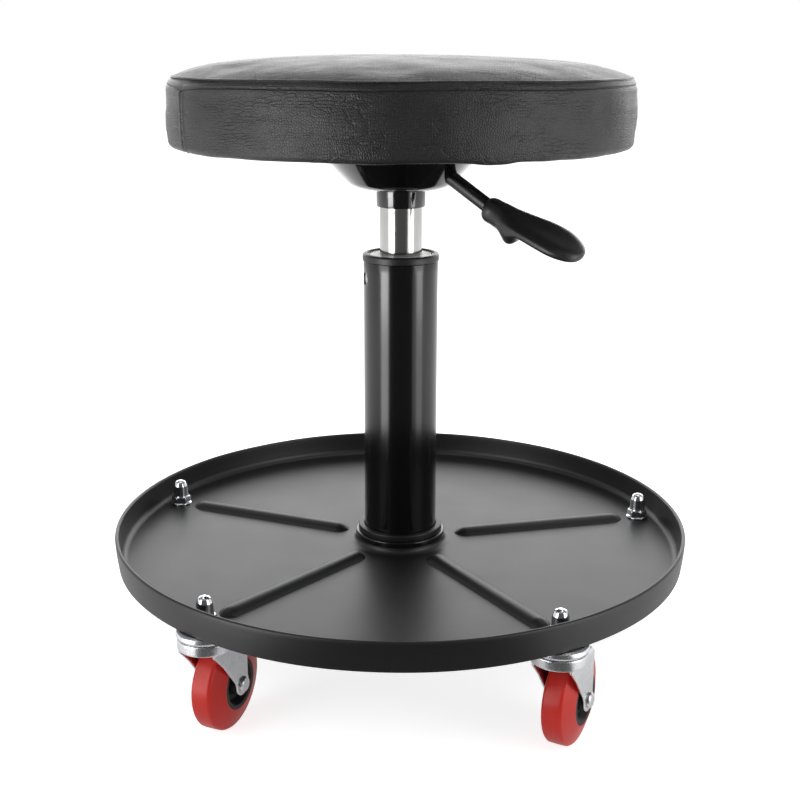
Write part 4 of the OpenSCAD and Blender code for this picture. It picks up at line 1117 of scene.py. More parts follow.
class SEAT_OT_underside(bpy.types.Operator):
    """Builds what holds the cover and the seat from below: staples, screws and their washers"""
    bl_idname = "work_seat.underside"
    bl_label = "Staples and screws"

    def execute(self, context):
        z = context.scene.seat_sizes
        self.staples(z, low("hem_staples").z)
        lo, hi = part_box("seat_screws")
        side = hi.x - lo.x - 2 * SCREW_HEAD
        self.screws(side, lo.z, hi.z)
        lo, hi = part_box("screw_washers")
        washer = corners([(WASHER_BORE, lo.z, 0.2 * MM), (WASHER_RADIUS, lo.z, 0.35 * MM),
                          (WASHER_RADIUS, hi.z, 0.2 * MM), (WASHER_BORE, hi.z, 0.2 * MM)], 3)
        washers = mesh_object("washers", turned(washer, 48))
        repeated(washers, square_tree, Side=side, Material=bright_zinc())
        seated(washers, "seat", "zinc_steel", "screw_washers")
        return {"FINISHED"}

    def staples(self, z, bottom):
        """Staples of flat wire with round shoulders, in a ring near the board's edge."""
        wire = STAPLE_WIRE
        path = corners([(-STAPLE_HALF, STAPLE_LEG, 0), (-STAPLE_HALF, -wire, 0.6 * MM),
                        (STAPLE_HALF, -wire, 0.6 * MM), (STAPLE_HALF, STAPLE_LEG, 0)], 4, closed=False)
        verts, around = [], 8
        for y, h in path:
            for q in range(around):
                b = TAU * q / around
                verts.append((wire * 0.8 * math.cos(b), y, bottom + wire + h + wire * 0.72 * math.sin(b)))
        staples = mesh_object("staples", (verts, skin(len(path), around)))
        repeated(staples, ring_tree, Count=z.staples, Radius=high("seat_board").x - STAPLE_INSET,
                 Start=math.pi / z.staples, Material=bright_zinc())
        seated(staples, "seat", "zinc_steel", "hem_staples")

    def screws(self, side, bottom, top):
        """Pan head screws with a cross recess that narrows inwards, on the corners of a square."""
        under = bottom + HEAD_HEIGHT
        profile = corners([(0, bottom, 0), (SCREW_HEAD * 0.55, bottom, 1 * MM),
                           (SCREW_HEAD, bottom + 1.7 * MM, 0.9 * MM), (SCREW_HEAD, under, 0.15 * MM),
                           (SCREW_SHANK, under, 0), (SCREW_SHANK, top - 0.8 * MM, 0.3 * MM),
                           (SCREW_TIP, top, 0), (0, top, 0)], 5, closed=False)
        screws = mesh_object("screws", turned(profile, 40, closed=False))
        x, y, r = SLOT_LENGTH / 2, SLOT_WIDTH / 2, 0.3 * MM
        slot = corners([(-x, -y, r), (x, -y, r), (x, y, r), (-x, y, r)], 2)
        for turn in (0, math.pi / 2):
            recess = prism([(x * c, y * c, h) for h, c in ((bottom - 1 * MM, 1.0), (bottom + SLOT_DEPTH, 0.7))
                            for x, y in slot])
            cut(screws, moved(recess, Matrix.Rotation(turn + SLOT_TURN, 4, "Z")))
        repeated(screws, square_tree, Side=side, Material=bright_zinc())
        seated(screws, "seat", "zinc_steel", "seat_screws")


# ---------------------------------------------------------------- bowl, lever and lift

LEVER = math.radians(-30.5)             # direction of the lever from +X
SLOPE = math.radians(30)                # slope of its rod
ROD_RADIUS, ROD_INNER, ROD_OUTER = 4.7 * MM, 16 * MM, 46 * MM      # the rod, from its pivot both ways
BOWL_SHARES = [(0, 0), (0.2, 0.05), (0.32, 0.12), (0.44, 0.25), (0.55, 0.38), (0.69, 0.55), (0.83, 0.73),
               (0.95, 0.93), (1, 1)]
HOLE_SPARE, HOLE_TILT = 1.1 * MM, math.radians(3)
EAR_GAP, EAR_HALF = 2.2 * MM, 1 * MM
EAR = mm((-5, -7.5, 0), (5, -1.5, 0), (5, 4, 3), (-5, 4, 3))       # along, up and corner radius of an ear
SLEEVE_DROP = 1.6 * MM                  # how far the sleeve reaches below its CAD node, as photographed


def lever_frame():
    """Matrix of the lever's own frame: the pivot at the origin, +X outwards."""
    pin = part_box("lever_pivot_pin")
    return Matrix.Translation((pin[0] + pin[1]) / 2) @ Matrix.Rotation(LEVER, 4, "Z")


def smooth_line(points, count):
    """A smooth curve through points, as a chain of count points."""
    p = np.array(points, float)
    s = np.concatenate([[0], np.cumsum(np.linalg.norm(np.diff(p, axis=0), axis=1))])
    slope = np.gradient(p, s, axis=0)
    out = []
    for t in np.linspace(0, s[-1], count):
        i = min(int(np.searchsorted(s, t, side="right")) - 1, len(s) - 2)
        h = s[i + 1] - s[i]
        k = (t - s[i]) / h
        out.append((2 * k ** 3 - 3 * k ** 2 + 1) * p[i] + (k ** 3 - 2 * k ** 2 + k) * h * slope[i]
                   + (3 * k ** 2 - 2 * k ** 3) * p[i + 1] + (k ** 3 - k ** 2) * h * slope[i + 1])
    return [tuple(q) for q in out]


class SEAT_OT_bowl(bpy.types.Operator):
    """Builds the pressed bowl under the seat with its lever hole, and the tapered sleeve below it"""
    bl_idname = "work_seat.bowl"
    bl_label = "Bowl and sleeve"

    def execute(self, context):
        z = context.scene.lift_sizes
        self.bowl(z)
        lo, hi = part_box("taper_sleeve")
        tube, foot = z.tube + 0.02 * MM, lo.z - SLEEVE_DROP
        profile = corners([(tube, foot, 0.3 * MM), (z.sleeve - 0.2 * MM, foot, 0.9 * MM),
                           (z.sleeve, lo.z + 9 * MM, 0), (z.sleeve, hi.z, 0.4 * MM),
                           (tube, hi.z, 0.3 * MM)], 5)
        sleeve = mesh_object("sleeve", turned(profile, 96), gloss_enamel())
        seated(sleeve, "seat", "black_steel", "taper_sleeve")
        return {"FINISHED"}

    def bowl(self, z):
        """The bowl and its flange, pierced for the lever, with two ears inside that carry the pivot pin."""
        lo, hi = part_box("mechanism_plate")
        flange_z = hi.z - z.sheet
        rise, reach = flange_z - lo.z, z.bowl_mouth - z.bowl_floor
        outside = smooth_line([(z.bowl_floor + a * reach, lo.z + b * rise) for a, b in BOWL_SHARES[:-1]], 34)
        inside = [(max(x - z.sheet * 0.9, z.sleeve), h + z.sheet * 0.75) for x, h in outside]
        mouth = (outside[-1][0] + 3.2 * MM, flange_z - 1.1 * MM)
        profile = ([(z.sleeve, lo.z)] + outside + [mouth, (z.bowl_mouth + 5 * MM, flange_z)]
                   + corners([(z.bowl_mouth + 6 * MM, flange_z, 0), (z.flange, flange_z, 0.5 * MM),
                              (z.flange, hi.z, 0.5 * MM), (z.bowl_mouth + 3 * MM, hi.z, 0)], 4, closed=False)
                   + inside[::-1] + [(z.sleeve, lo.z + z.sheet)])
        bowl = mesh_object("bowl", turned(profile, 144), gloss_enamel(), sharp=50)
        at, wide = lever_frame(), ROD_RADIUS + HOLE_SPARE
        hole = turned([(0, 14 * MM), (wide, 14 * MM), (wide, ROD_OUTER), (0, ROD_OUTER)], 48, closed=False)
        cut(bowl, moved(hole, at @ Matrix.Rotation(math.pi / 2 + SLOPE - HOLE_TILT, 4, "Y")))
        ears = []
        for side in (-1, 1):
            y = side * (ROD_RADIUS + EAR_GAP)
            ring = [(x, y + t, h) for t in (-EAR_HALF, EAR_HALF) for x, h in corners(EAR)]
            ears.append(moved(prism(ring), at))
        ear_obj = mesh_object("lever_ears", joined(*ears), gloss_enamel())
        seated(bowl, "seat", "black_steel", "mechanism_plate")
        seated(ear_obj, "seat", "black_steel")


GRIP_START = 39 * MM                    # distance from the pivot along the rod to the grip
GRIP_SLOPE, GRIP_ROLL = math.radians(20.5), math.radians(11)
# Distance from its start, half width, half thickness, lift, side shift and fullness of the grip, in mm
GRIP = [(0.0, 5.4, 5.2, -1.2, 0.0, 2.0), (0.6, 7.2, 7.0, -1.3, 0.0, 2.0), (2.2, 8.0, 7.7, -1.4, 0.0, 2.1),
        (8.0, 8.3, 8.0, -1.4, -0.2, 2.2), (13.0, 9.3, 8.0, -1.4, -0.5, 2.3),
        (18.0, 11.2, 7.0, -1.2, -0.8, 2.4), (24.0, 13.2, 5.8, -0.6, -0.8, 2.5),
        (31.0, 14.8, 5.0, 0.0, -0.6, 2.5), (40.0, 16.4, 5.0, 0.3, -0.3, 2.5),
        (47.5, 17.1, 5.0, 0.3, -0.2, 2.5), (56.0, 16.5, 4.9, 0.2, -0.9, 2.5),
        (63.8, 13.8, 4.6, 0.1, -1.8, 2.4), (69.0, 10.2, 4.0, 0.0, -2.3, 2.3),
        (72.0, 6.0, 2.9, 0.0, -2.6, 2.2), (73.4, 0.9, 0.6, 0.0, -2.7, 2.0)]
DISH_FROM, DISH_TO, DISH_IN, DISH_OUT, DISH_DEPTH = 20, 74, 14, 16, 1.1       # the hollow on top, in mm
HOOK_AT, HOOK_BACK, HOOK_FRONT, HOOK_DEPTH = 24.5, 5.4, 7, 7.2                # the finger hook, in mm
HOOK_ASIDE, HOOK_WIDTH = 8.5, 5.5
# The tongue of the rod over the release pin: along, across and corner radius
TONGUE = mm((-37, -4, 2.5), (-9.2, -4, 0), (-9.2, 4, 0), (-37, 4, 2.5))
TONGUE_SHEET = 3 * MM


class SEAT_OT_lever(bpy.types.Operator):
    """Builds the lever: its enamelled rod and the moulded grip with its neck, hollow and finger hook"""
    bl_idname = "work_seat.lever"
    bl_label = "Lever"

    def execute(self, context):
        at, r = lever_frame(), ROD_RADIUS
        rod = turned(corners([(0, -ROD_INNER, 0), (r, -ROD_INNER, 0.8 * MM), (r, ROD_OUTER, 0.6 * MM),
                              (0, ROD_OUTER, 0)], 5, closed=False), 56, closed=False)
        rod = moved(rod, at @ Matrix.Rotation(math.pi / 2 + SLOPE, 4, "Y"))
        top = high("lever_rod").z
        base = at.translation.z
        tongue = prism([(x, y, h - base) for h in (top - TONGUE_SHEET, top) for x, y in corners(TONGUE)])
        piece = mesh_object("lever_bar", joined(rod, moved(tongue, at)), rod_enamel())
        seated(piece, "lever", "black_steel", "lever_rod")

        start = (GRIP_START * math.cos(SLOPE), 0, -GRIP_START * math.sin(SLOPE))
        to_lever = (at @ Matrix.Translation(start) @ Matrix.Rotation(GRIP_SLOPE, 4, "Y")
                    @ Matrix.Rotation(GRIP_ROLL, 4, "X"))
        grip = mesh_object("grip", moved(self.grip_form(), to_lever), grip_plastic(), sharp=70)
        m = grip.modifiers.new("soft", "SUBSURF")
        m.levels = m.render_levels = 1
        bake(grip)
        seated(grip, "lever", "black_handle", "lever_grip")
        return {"FINISHED"}

    def grip_form(self):
        """The grip in its own frame: full round sections along its length, dished on top, hooked below."""
        rows, around, verts = smooth_line(GRIP, 64), 40, []
        for x, a, b, up, aside, power in rows:
            reach, fall = (HOOK_BACK, 2) if x < HOOK_AT else (HOOK_FRONT, 3)
            hook = math.exp(-abs((x - HOOK_AT) / reach) ** fall)
            for q in range(around):
                c, s = math.cos(TAU * q / around), math.sin(TAU * q / around)
                y = a * math.copysign(abs(c) ** (2 / power), c)
                h = b * math.copysign(abs(s) ** (2 / power), s)
                if s > 0 and x > DISH_FROM:
                    dish = min(1, (x - DISH_FROM) / DISH_IN) * min(1, max(0, (DISH_TO - x) / DISH_OUT))
                    h -= DISH_DEPTH * dish * max(0, 1 - (y / (a * 0.72)) ** 2) ** 1.5
                if s < 0:
                    h -= HOOK_DEPTH * hook * math.exp(-((y + aside + HOOK_ASIDE) / HOOK_WIDTH) ** 2)
                verts.append((x * MM, (y + aside) * MM, (h + up) * MM))
        return verts, skin(len(rows), around)


HOLE_DROP, HOLE_RADIUS, HOLE_BAND = 11.5 * MM, 4 * MM, 4.6 * MM    # the locking hole below the column's top
HOLE_AT = math.radians(203)
COLUMN_BORE, COLUMN_FLOOR = 4.1 * MM, 3 * MM
CAP_WIDTH, CAP_LIFT = 3.2 * MM, 0.12 * MM
FOOT_STEP, NECK_RADIUS, COLLAR_RADIUS, COLLAR_HEIGHT = 2 * MM, 29.6 * MM, 31.2 * MM, 6 * MM


class SEAT_OT_lift(bpy.types.Operator):
    """Builds the gas lift: chrome tube, column with its locking hole, cap ring and the rings at its foot"""
    bl_idname = "work_seat.lift"
    bl_label = "Gas lift and column"

    def execute(self, context):
        z = context.scene.lift_sizes
        lo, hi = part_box("gas_cylinder")
        inner = z.tube - z.tube_wall
        profile = corners([(inner, lo.z, 0.2 * MM), (z.tube, lo.z, 0.5 * MM),
                           (z.tube, low("taper_sleeve").z, 0), (z.tube - 0.6 * MM, hi.z, 0.5 * MM),
                           (inner, hi.z, 0.3 * MM)], 4)
        tube = mesh_object("chrome_tube", turned(profile, 128), ground_chrome())
        seated(tube, "seat", "chrome_tube", "gas_cylinder")
        self.column(z)
        self.foot(z)
        return {"FINISHED"}

    def column(self, z):
        """The column with its locking hole, and the ring that caps it."""
        lo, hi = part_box("column_tube")
        inner, floor, hole_z = z.column - z.column_wall, lo.z + COLUMN_FLOOR, hi.z - HOLE_DROP
        profile = corners([(COLUMN_BORE, lo.z, 0.2 * MM), (z.column, lo.z, 0.8 * MM),
                           (z.column, hole_z - HOLE_BAND, 0), (z.column, hole_z + HOLE_BAND, 0),
                           (z.column, hi.z, 0.35 * MM), (inner, hi.z, 0.3 * MM), (inner, floor, 0.5 * MM),
                           (COLUMN_BORE, floor, 0)], 4)
        column = mesh_object("column", turned(profile, 240), powder_coat(), sharp=50)
        form = turned([(0, 18 * MM), (HOLE_RADIUS, 18 * MM), (HOLE_RADIUS, 28 * MM), (0, 28 * MM)], 40,
                      closed=False)
        cut(column, moved(form, along((math.cos(HOLE_AT), math.sin(HOLE_AT), 0), (0, 0, hole_z))))
        seated(column, "base", "black_steel", "column_tube")

        lo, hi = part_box("column_cap")
        out, bottom = radius("column_cap"), lo.z + CAP_LIFT
        profile = corners([(out - CAP_WIDTH, bottom, 0.2 * MM), (out, bottom, 0.35 * MM),
                           (out, hi.z, 2.1 * MM), (out - CAP_WIDTH, hi.z, 0.4 * MM)], 7)
        cap = mesh_object("cap_ring", turned(profile, 144), tray_paint())
        seated(cap, "base", "black_steel", "column_cap")

    def foot(self, z):
        """The ring on the column and, 2 mm lower, the collar that the tray's neck rises to."""
        lo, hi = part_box("column_ring")
        out, skirt = radius("column_ring"), lo.z - FOOT_STEP
        profile = corners([(z.column, lo.z, 0), (z.column + 1 * MM, lo.z, 0), (z.column + 1 * MM, skirt, 0),
                           (out, skirt, 0.3 * MM), (out, hi.z, 0.9 * MM),
                           (z.column + 0.6 * MM, hi.z, 0.5 * MM), (z.column, hi.z - 0.5 * MM, 0)], 6)
        ring = mesh_object("foot_ring", turned(profile, 144), tray_paint())
        seated(ring, "base", "black_steel", "column_ring")

        lo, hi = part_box("column_socket")
        collar, top = hi.z - COLLAR_HEIGHT, hi.z - FOOT_STEP
        plate, wide = high("caster_top_plates").z, radius("column_socket")
        below = plate - 3 * MM
        rest, lip = out - 0.5 * MM, z.column + 0.9 * MM
        profile = corners([(z.column, lo.z, 0), (NECK_RADIUS, lo.z, 0.8 * MM), (NECK_RADIUS, below, 1.5 * MM),
                           (wide, below, 0.8 * MM), (wide, plate, 0.4 * MM), (NECK_RADIUS, plate, 0),
                           (NECK_RADIUS, collar, 0), (COLLAR_RADIUS, collar, 1.2 * MM),
                           (COLLAR_RADIUS, top, 1.1 * MM), (rest, top, 0), (rest, top - 0.3 * MM, 0),
                           (lip, top - 0.3 * MM, 0), (lip, hi.z, 0), (z.column, hi.z, 0)], 6)
        socket = mesh_object("foot_collar", turned(profile, 144), powder_coat())
        seated(socket, "base", "black_steel", "column_socket")


# ---------------------------------------------------------------- the tray

RIBS, FIRST_RIB = 5, math.radians(90)
RIB_LINES, FLOOR_LINES = 11, 55         # half the grid lines on a rib and between two ribs
SHEET_SAG, RIM_DRIFT = 0.12 * MM, 0.22 * MM
FOLD_SPARE = 0.1 * MM                   # room inside the folded wall


class SEAT_OT_tray(bpy.types.Operator):
    """Builds the deep-drawn tray: floor, five pressed ribs, neck, wall, rolled rim and outer hem"""
    bl_idname = "work_seat.tray"
    bl_label = "Tool tray"

    def execute(self, context):
        z = context.scene.tray_sizes
        p, above, below, foot_r, bend_r = self.outline(z)
        m, r = len(p), np.maximum(p[:, 0], 1e-6)
        from_end = np.clip(np.minimum(r - z.rib_start, z.rib_end - r) / z.bow, 0, 1)
        width = np.maximum(z.rib_width / 2 * (1 - (1 - from_end) ** 2) ** 0.6, 1.1 * MM)
        height = z.rib_height * (1 - (1 - from_end) ** 2.4)
        # Grid lines run along the foot of each rib, so that its outline stays clean.
        sector = TAU / RIBS
        phi = np.arcsin(np.clip(width / r, 0, 0.9))
        lines = np.concatenate([np.linspace(-1, 1, 2 * RIB_LINES + 1),
                                np.linspace(1, 2, 2 * FLOOR_LINES + 1)[1:-1]])
        verts = np.zeros((RIBS * len(lines), m, 3))
        for s in range(RIBS):
            axis = FIRST_RIB + sector * s
            for q, k in enumerate(lines):
                h = p[:, 1].copy()
                if k <= 1:
                    a = axis + phi * k
                    lift = height * (1 - np.abs(k) ** 2.3)
                    h[above] += lift[above]
                    h[below] += lift[below]
                else:
                    # The drawn sheet is never quite flat.
                    a = axis + phi + (sector - 2 * phi) * (k - 1)
                    wave = np.sin(np.pi * (r[above] - foot_r) / (bend_r - foot_r))
                    h[above] -= SHEET_SAG * math.sin((k - 1) * math.pi) * wave
                row = s * len(lines) + q
                verts[row, :, 0], verts[row, :, 1], verts[row, :, 2] = r * np.cos(a), r * np.sin(a), h
        # The rolled rim and the hem wander by a tenth of a millimetre or two.
        lap = np.arctan2(verts[:, -1, 1], verts[:, -1, 0])
        drift = np.array([hum(4 * math.cos(b), 4 * math.sin(b), 0.4) for b in lap])
        outer = np.clip((p[:, 0] - bend_r) / (4 * MM), 0, 1)
        verts[:, :, 2] += RIM_DRIFT * drift[:, None] * outer[None, :]
        n = len(verts)
        faces = [(i * m + j, ((i + 1) % n) * m + j, ((i + 1) % n) * m + (j + 1) % m, i * m + (j + 1) % m)
                 for i in range(n) for j in range(m)]
        tray = mesh_object("tool_tray", (verts.reshape(-1, 3), faces), tray_paint(), sharp=42)
        seated(tray, "base", "black_tray_paint", "tray")
        return {"FINISHED"}

    def outline(self, z):
        """Outline of the sheet, its rows on the floor and under it, and both ends of the flat floor."""
        lo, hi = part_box("tray")
        floor, skirt, rim_z = hi.z - z.depth, lo.z, hi.z
        under, fold, foot = floor - z.sheet, z.sheet + FOLD_SPARE, z.rim - z.draft
        mid_z = (skirt + rim_z) / 2

        def wall(h):
            return float(np.interp(h, [skirt, mid_z, rim_z - fold], [foot, foot + z.draft * 0.7, z.rim]))
        bend_z = floor + z.bend
        bend_r = wall(bend_z) - 2 * fold - z.bend
        neck_top, foot_r = floor + z.neck_bend, z.neck + z.neck_bend
        arc = np.linspace(0, math.pi / 2, 9)
        top = [(foot_r - z.neck_bend * math.cos(a), neck_top - z.neck_bend * math.sin(a)) for a in arc]
        marks = (foot_r, z.rib_start, z.rib_start + z.bow, z.rib_end - z.bow, z.rib_end, bend_r)
        stations = np.concatenate([np.linspace(r0, r1, count)[1:]
                                   for r0, r1, count in zip(marks, marks[1:], (4, 12, 12, 12, 5))])
        top += [(r, floor) for r in stations]
        above = slice(len(arc) - 1, len(top))
        top += [(bend_r + z.bend * math.sin(a), bend_z - z.bend * math.cos(a)) for a in arc[1:]]
        top += [(wall(h) - 2 * fold, h) for h in np.linspace(bend_z, rim_z - fold, 6)[1:]]
        rolled = np.linspace(math.pi, 0, 13)[1:]
        top += [(z.rim - fold + fold * math.cos(a), rim_z - fold + fold * math.sin(a)) for a in rolled]
        top += [(wall(h), h) for h in np.linspace(rim_z - fold, skirt + 0.5 * MM, 8)[1:]]
        gap_r = foot - z.sheet
        top += corners([(foot, skirt + 0.5 * MM, 0), (foot, skirt, 0.45 * MM), (gap_r, skirt, 0.45 * MM),
                        (gap_r, skirt + 0.7 * MM, 0)], 3, closed=False)[1:]
        top += [(gap_r + 0.05 * MM, skirt + 2.5 * MM), (gap_r - 0.15 * MM, skirt + 2.4 * MM)]
        bent = z.bend + z.sheet
        top += [(bend_r + bent * math.sin(a), bend_z - bent * math.cos(a)) for a in arc[::-1][3:]]
        start = len(top) - 1
        top += [(r, under) for r in [*stations[::-1][1::2], foot_r + 1 * MM]]
        below = slice(start, len(top))
        neck_in = z.neck - z.sheet
        top += [(neck_in + 0.8 * MM, under + 0.2 * MM), (neck_in, under + 1.2 * MM), (neck_in, neck_top)]
        return np.array(top), above, below, foot_r, bend_r


# ---------------------------------------------------------------- casters

TRAIL, AXLE_HEIGHT = 20 * MM, 30.5 * MM
LEG_OUTSIDE = 13.1 * MM                 # distance from the wheel's middle to the outside of a leg
LEG_SHEET, LEG_END = 2 * MM, 7.4 * MM   # a leg's thickness and the radius of its round end
CUP_RADIUS, CUP_BRIM = 17.4 * MM, 66.5 * MM
WEDGE_STEPS, WEDGE_TURN, WEDGE_DROP = 17, 41.5, 8.5 * MM
WEDGE_SHARES = ((0, 1), (0.08, 0.6), (0.38, 0.26), (1, 0), (0, 0))     # outwards and downwards
EASE_FACTOR, EASE_STEPS = 0.5, 14
CORE_HALF, CORE_BORE, CORE_BOSS, CORE_WEB = 10.8 * MM, 3.05 * MM, 7 * MM, 5.4 * MM


def caster_matrix(i):
    """Matrix from a caster's own frame, swivel at the origin and trail along +X, to its place."""
    places = {j["name"]: Vector(j["pos_m"]) for j in frame["joints"] if "pos_m" in j}
    swivel, axle = places[f"caster_swivel_{i}"], places[f"wheel_spin_{i}"]
    d = axle - swivel
    return Matrix.Translation((swivel.x, swivel.y, 0)) @ Matrix.Rotation(math.atan2(d.y, d.x), 4, "Z")


def on_axle():
    """Matrix that lays a piece turned round Z onto the axle of the caster's own frame."""
    return Matrix.Translation((TRAIL, 0, AXLE_HEIGHT)) @ Matrix.Rotation(math.pi / 2, 4, "X")


def both_sides(part):
    """A turned piece on the outside of each leg, facing outwards."""
    out = Matrix.Translation((0, 0, LEG_OUTSIDE))
    return [moved(part, on_axle() @ Matrix.Rotation(turn, 4, "X") @ out) for turn in (math.pi, 0)]


def copy_of(obj, name, matrix):
    """A separate copy of a finished piece, its mesh moved by a matrix."""
    data = obj.data.copy()
    data.transform(matrix)
    made = bpy.data.objects.new(name, data)
    bpy.context.scene.collection.objects.link(made)
    return made


class SEAT_OT_casters(bpy.types.Operator):
    """Builds the five casters: forks with soft pressed edges, riveted axles, cores and red tyres"""
    bl_idname = "work_seat.casters"
    bl_label = "Casters"

    def execute(self, context):
        z = context.scene.caster_sizes
        head = corners([(0, 2.2 * MM, 0), (4.2 * MM, 2.15 * MM, 1.1 * MM), (5.1 * MM, 1.1 * MM, 0.7 * MM),
                        (5.1 * MM, 0, 0.2 * MM), (3 * MM, 0, 0), (3 * MM, -LEG_OUTSIDE, 0)], 6, closed=False)
        axle = mesh_object("axle", joined(*both_sides(turned(head, 44, closed=False))), bright_zinc())
        parts = ((self.fork(z), "fork", "fork", "zinc_steel", "caster_fork"),
                 (axle, "axle", "fork", "zinc_steel", "wheel_axle"),
                 (self.core(z), "core", "wheel", "wheel_core_black", "wheel_core"),
                 (self.tyre(z), "tyre", "wheel", "red_tread", "wheel_tyre"))
        for i in CASTERS:
            at = caster_matrix(i)
            for part, label, body, slot, node in parts:
                seated(copy_of(part, f"{label}_{i}", at), f"{body}_{i}", slot, f"{node}_{i}")
        for part, *_ in parts:
            bpy.data.objects.remove(part)
        return {"FINISHED"}

    def fork(self, z):
        """The CAD fork in the caster's own frame, its edges rounded by small cells and smoothing."""
        bm = bmesh.new()
        bm.from_mesh(frame["nodes"]["caster_fork_1"].data)
        bmesh.ops.remove_doubles(bm, verts=bm.verts, dist=1e-6)
        bmesh.ops.transform(bm, matrix=caster_matrix(1).inverted(), verts=bm.verts)
        bm.verts.index_update()
        plain = ([tuple(v.co) for v in bm.verts], [tuple(v.index for v in f.verts) for f in bm.faces])
        bm.free()
        fork = mesh_object("fork", joined(plain, *self.blend_forms(), *self.leg_ends()), sharp=80)
        m = fork.modifiers.new("cells", "REMESH")
        m.mode, m.voxel_size, m.use_smooth_shade = "VOXEL", z.voxel, True
        m = fork.modifiers.new("ease", "SMOOTH")
        m.factor, m.iterations = EASE_FACTOR, EASE_STEPS
        bake(fork)
        fork.data.materials.clear()
        fork.data.materials.append(bright_zinc())
        return fork

    def leg_ends(self):
        """A round end on each leg, a little wider than the rivet's head."""
        ring = turned([(3 * MM, -LEG_SHEET), (LEG_END, -LEG_SHEET), (LEG_END, 0), (3 * MM, 0)], 48)
        return both_sides(ring)[::-1]

    def blend_forms(self):
        """Wedges that ease the cup into the outside of each leg, as the press draws them."""
        forms = []
        for side in (-1, 1):
            verts = []
            for q in range(WEDGE_STEPS):
                a = math.radians(-WEDGE_TURN + 2 * WEDGE_TURN * q / (WEDGE_STEPS - 1)) + side * math.pi / 2
                near = min((LEG_OUTSIDE - 0.9 * MM) / max(0.2, abs(math.sin(a))), CUP_RADIUS)
                x = near * math.cos(a)
                # The wedge ends where the leg's front edge runs inwards and where the leg leaves the cup.
                fade = min(1.0, max(0.03, (x + 11.6 * MM) / (9 * MM)),
                           max(0.03, (11.8 * MM - x) / (3 * MM)) ** 0.5)
                for outwards, downwards in WEDGE_SHARES:
                    r = near + (CUP_RADIUS - near) * outwards
                    verts.append((r * math.cos(a), r * math.sin(a), CUP_BRIM - WEDGE_DROP * fade * downwards))
            forms.append((verts, skin(WEDGE_STEPS, len(WEDGE_SHARES))))
        return forms

    def core(self, z):
        """The black core: a boss, a thin web and a rim under the tyre."""
        rim_in, half, shape = z.core - 2.5 * MM, z.hub / 2, []
        for side in (-1, 1):
            pts = [(CORE_BORE, side * CORE_HALF, 0), (CORE_BOSS, side * CORE_HALF, 0.5 * MM),
                   (CORE_BOSS + 0.8 * MM, side * CORE_WEB, 1 * MM),
                   (rim_in - 2.6 * MM, side * CORE_WEB, 1.2 * MM),
                   (rim_in, side * half, 0.5 * MM), (z.core, side * half, 0.15 * MM)]
            shape += pts if side < 0 else pts[::-1]
        return mesh_object("core", moved(turned(corners(shape, 4), 80), on_axle()), nylon())

    def tyre(self, z):
        """The red tyre: a nearly flat tread with round shoulders that run down to the core."""
        r, tread, half, drop = z.wheel, z.tread / 2, z.hub / 2, 0.12 * MM
        crown = [(r - drop * (y / tread) ** 2, y) for y in np.linspace(-tread * 0.8, tread * 0.8, 7)]
        ends = [corners([(z.core, s * half, 0.2 * MM), (z.core + 0.5 * MM, s * (half + 0.05 * MM), 0.3 * MM),
                         (r - 1.1 * MM, s * (tread + 0.55 * MM), 1.6 * MM), (r - drop, s * tread * 0.86, 0)],
                        6, closed=False) for s in (-1, 1)]
        shape = ends[0] + crown + ends[1][::-1]
        return mesh_object("tyre", moved(turned(shape, 112), on_axle()), polyurethane(), sharp=50)


# Outlines of a dome nut over the tray's floor: radius, height and corner radius
NUT_FLANGE = mm((0, 0, 0), (7.9, 0, 0.35), (7.9, 1.1, 0.6), (6.6, 1.7, 0.3), (0, 1.7, 0))
NUT_FOOT = mm((0, 3, 0), (6, 5.6, 0), (5.5, 6.6, 0.5), (5.3, 8.2, 0.8))
# The same for the top of its dome, from the nut's top downwards
NUT_TOP = mm((5.25, -4.2, 2), (3.7, -0.9, 2.4), (1.3, 0, 1.2), (0, 0, 0))
# The hexagon: height and the radius of the cone that chamfers its corners there
HEX_FLAT = 6.2 * MM
HEX_CHAMFER = mm((1.2, 6.9), (1.9, 7.25), (5.0, 7.25), (5.6, 6.75), (6.05, 6.1), (6.1, 5.2))
RACE_Z, RACE_RADIUS, PLATE_BORE, PLATE_SEAT = 71.4 * MM, 15.1 * MM, 5 * MM, 12.8 * MM


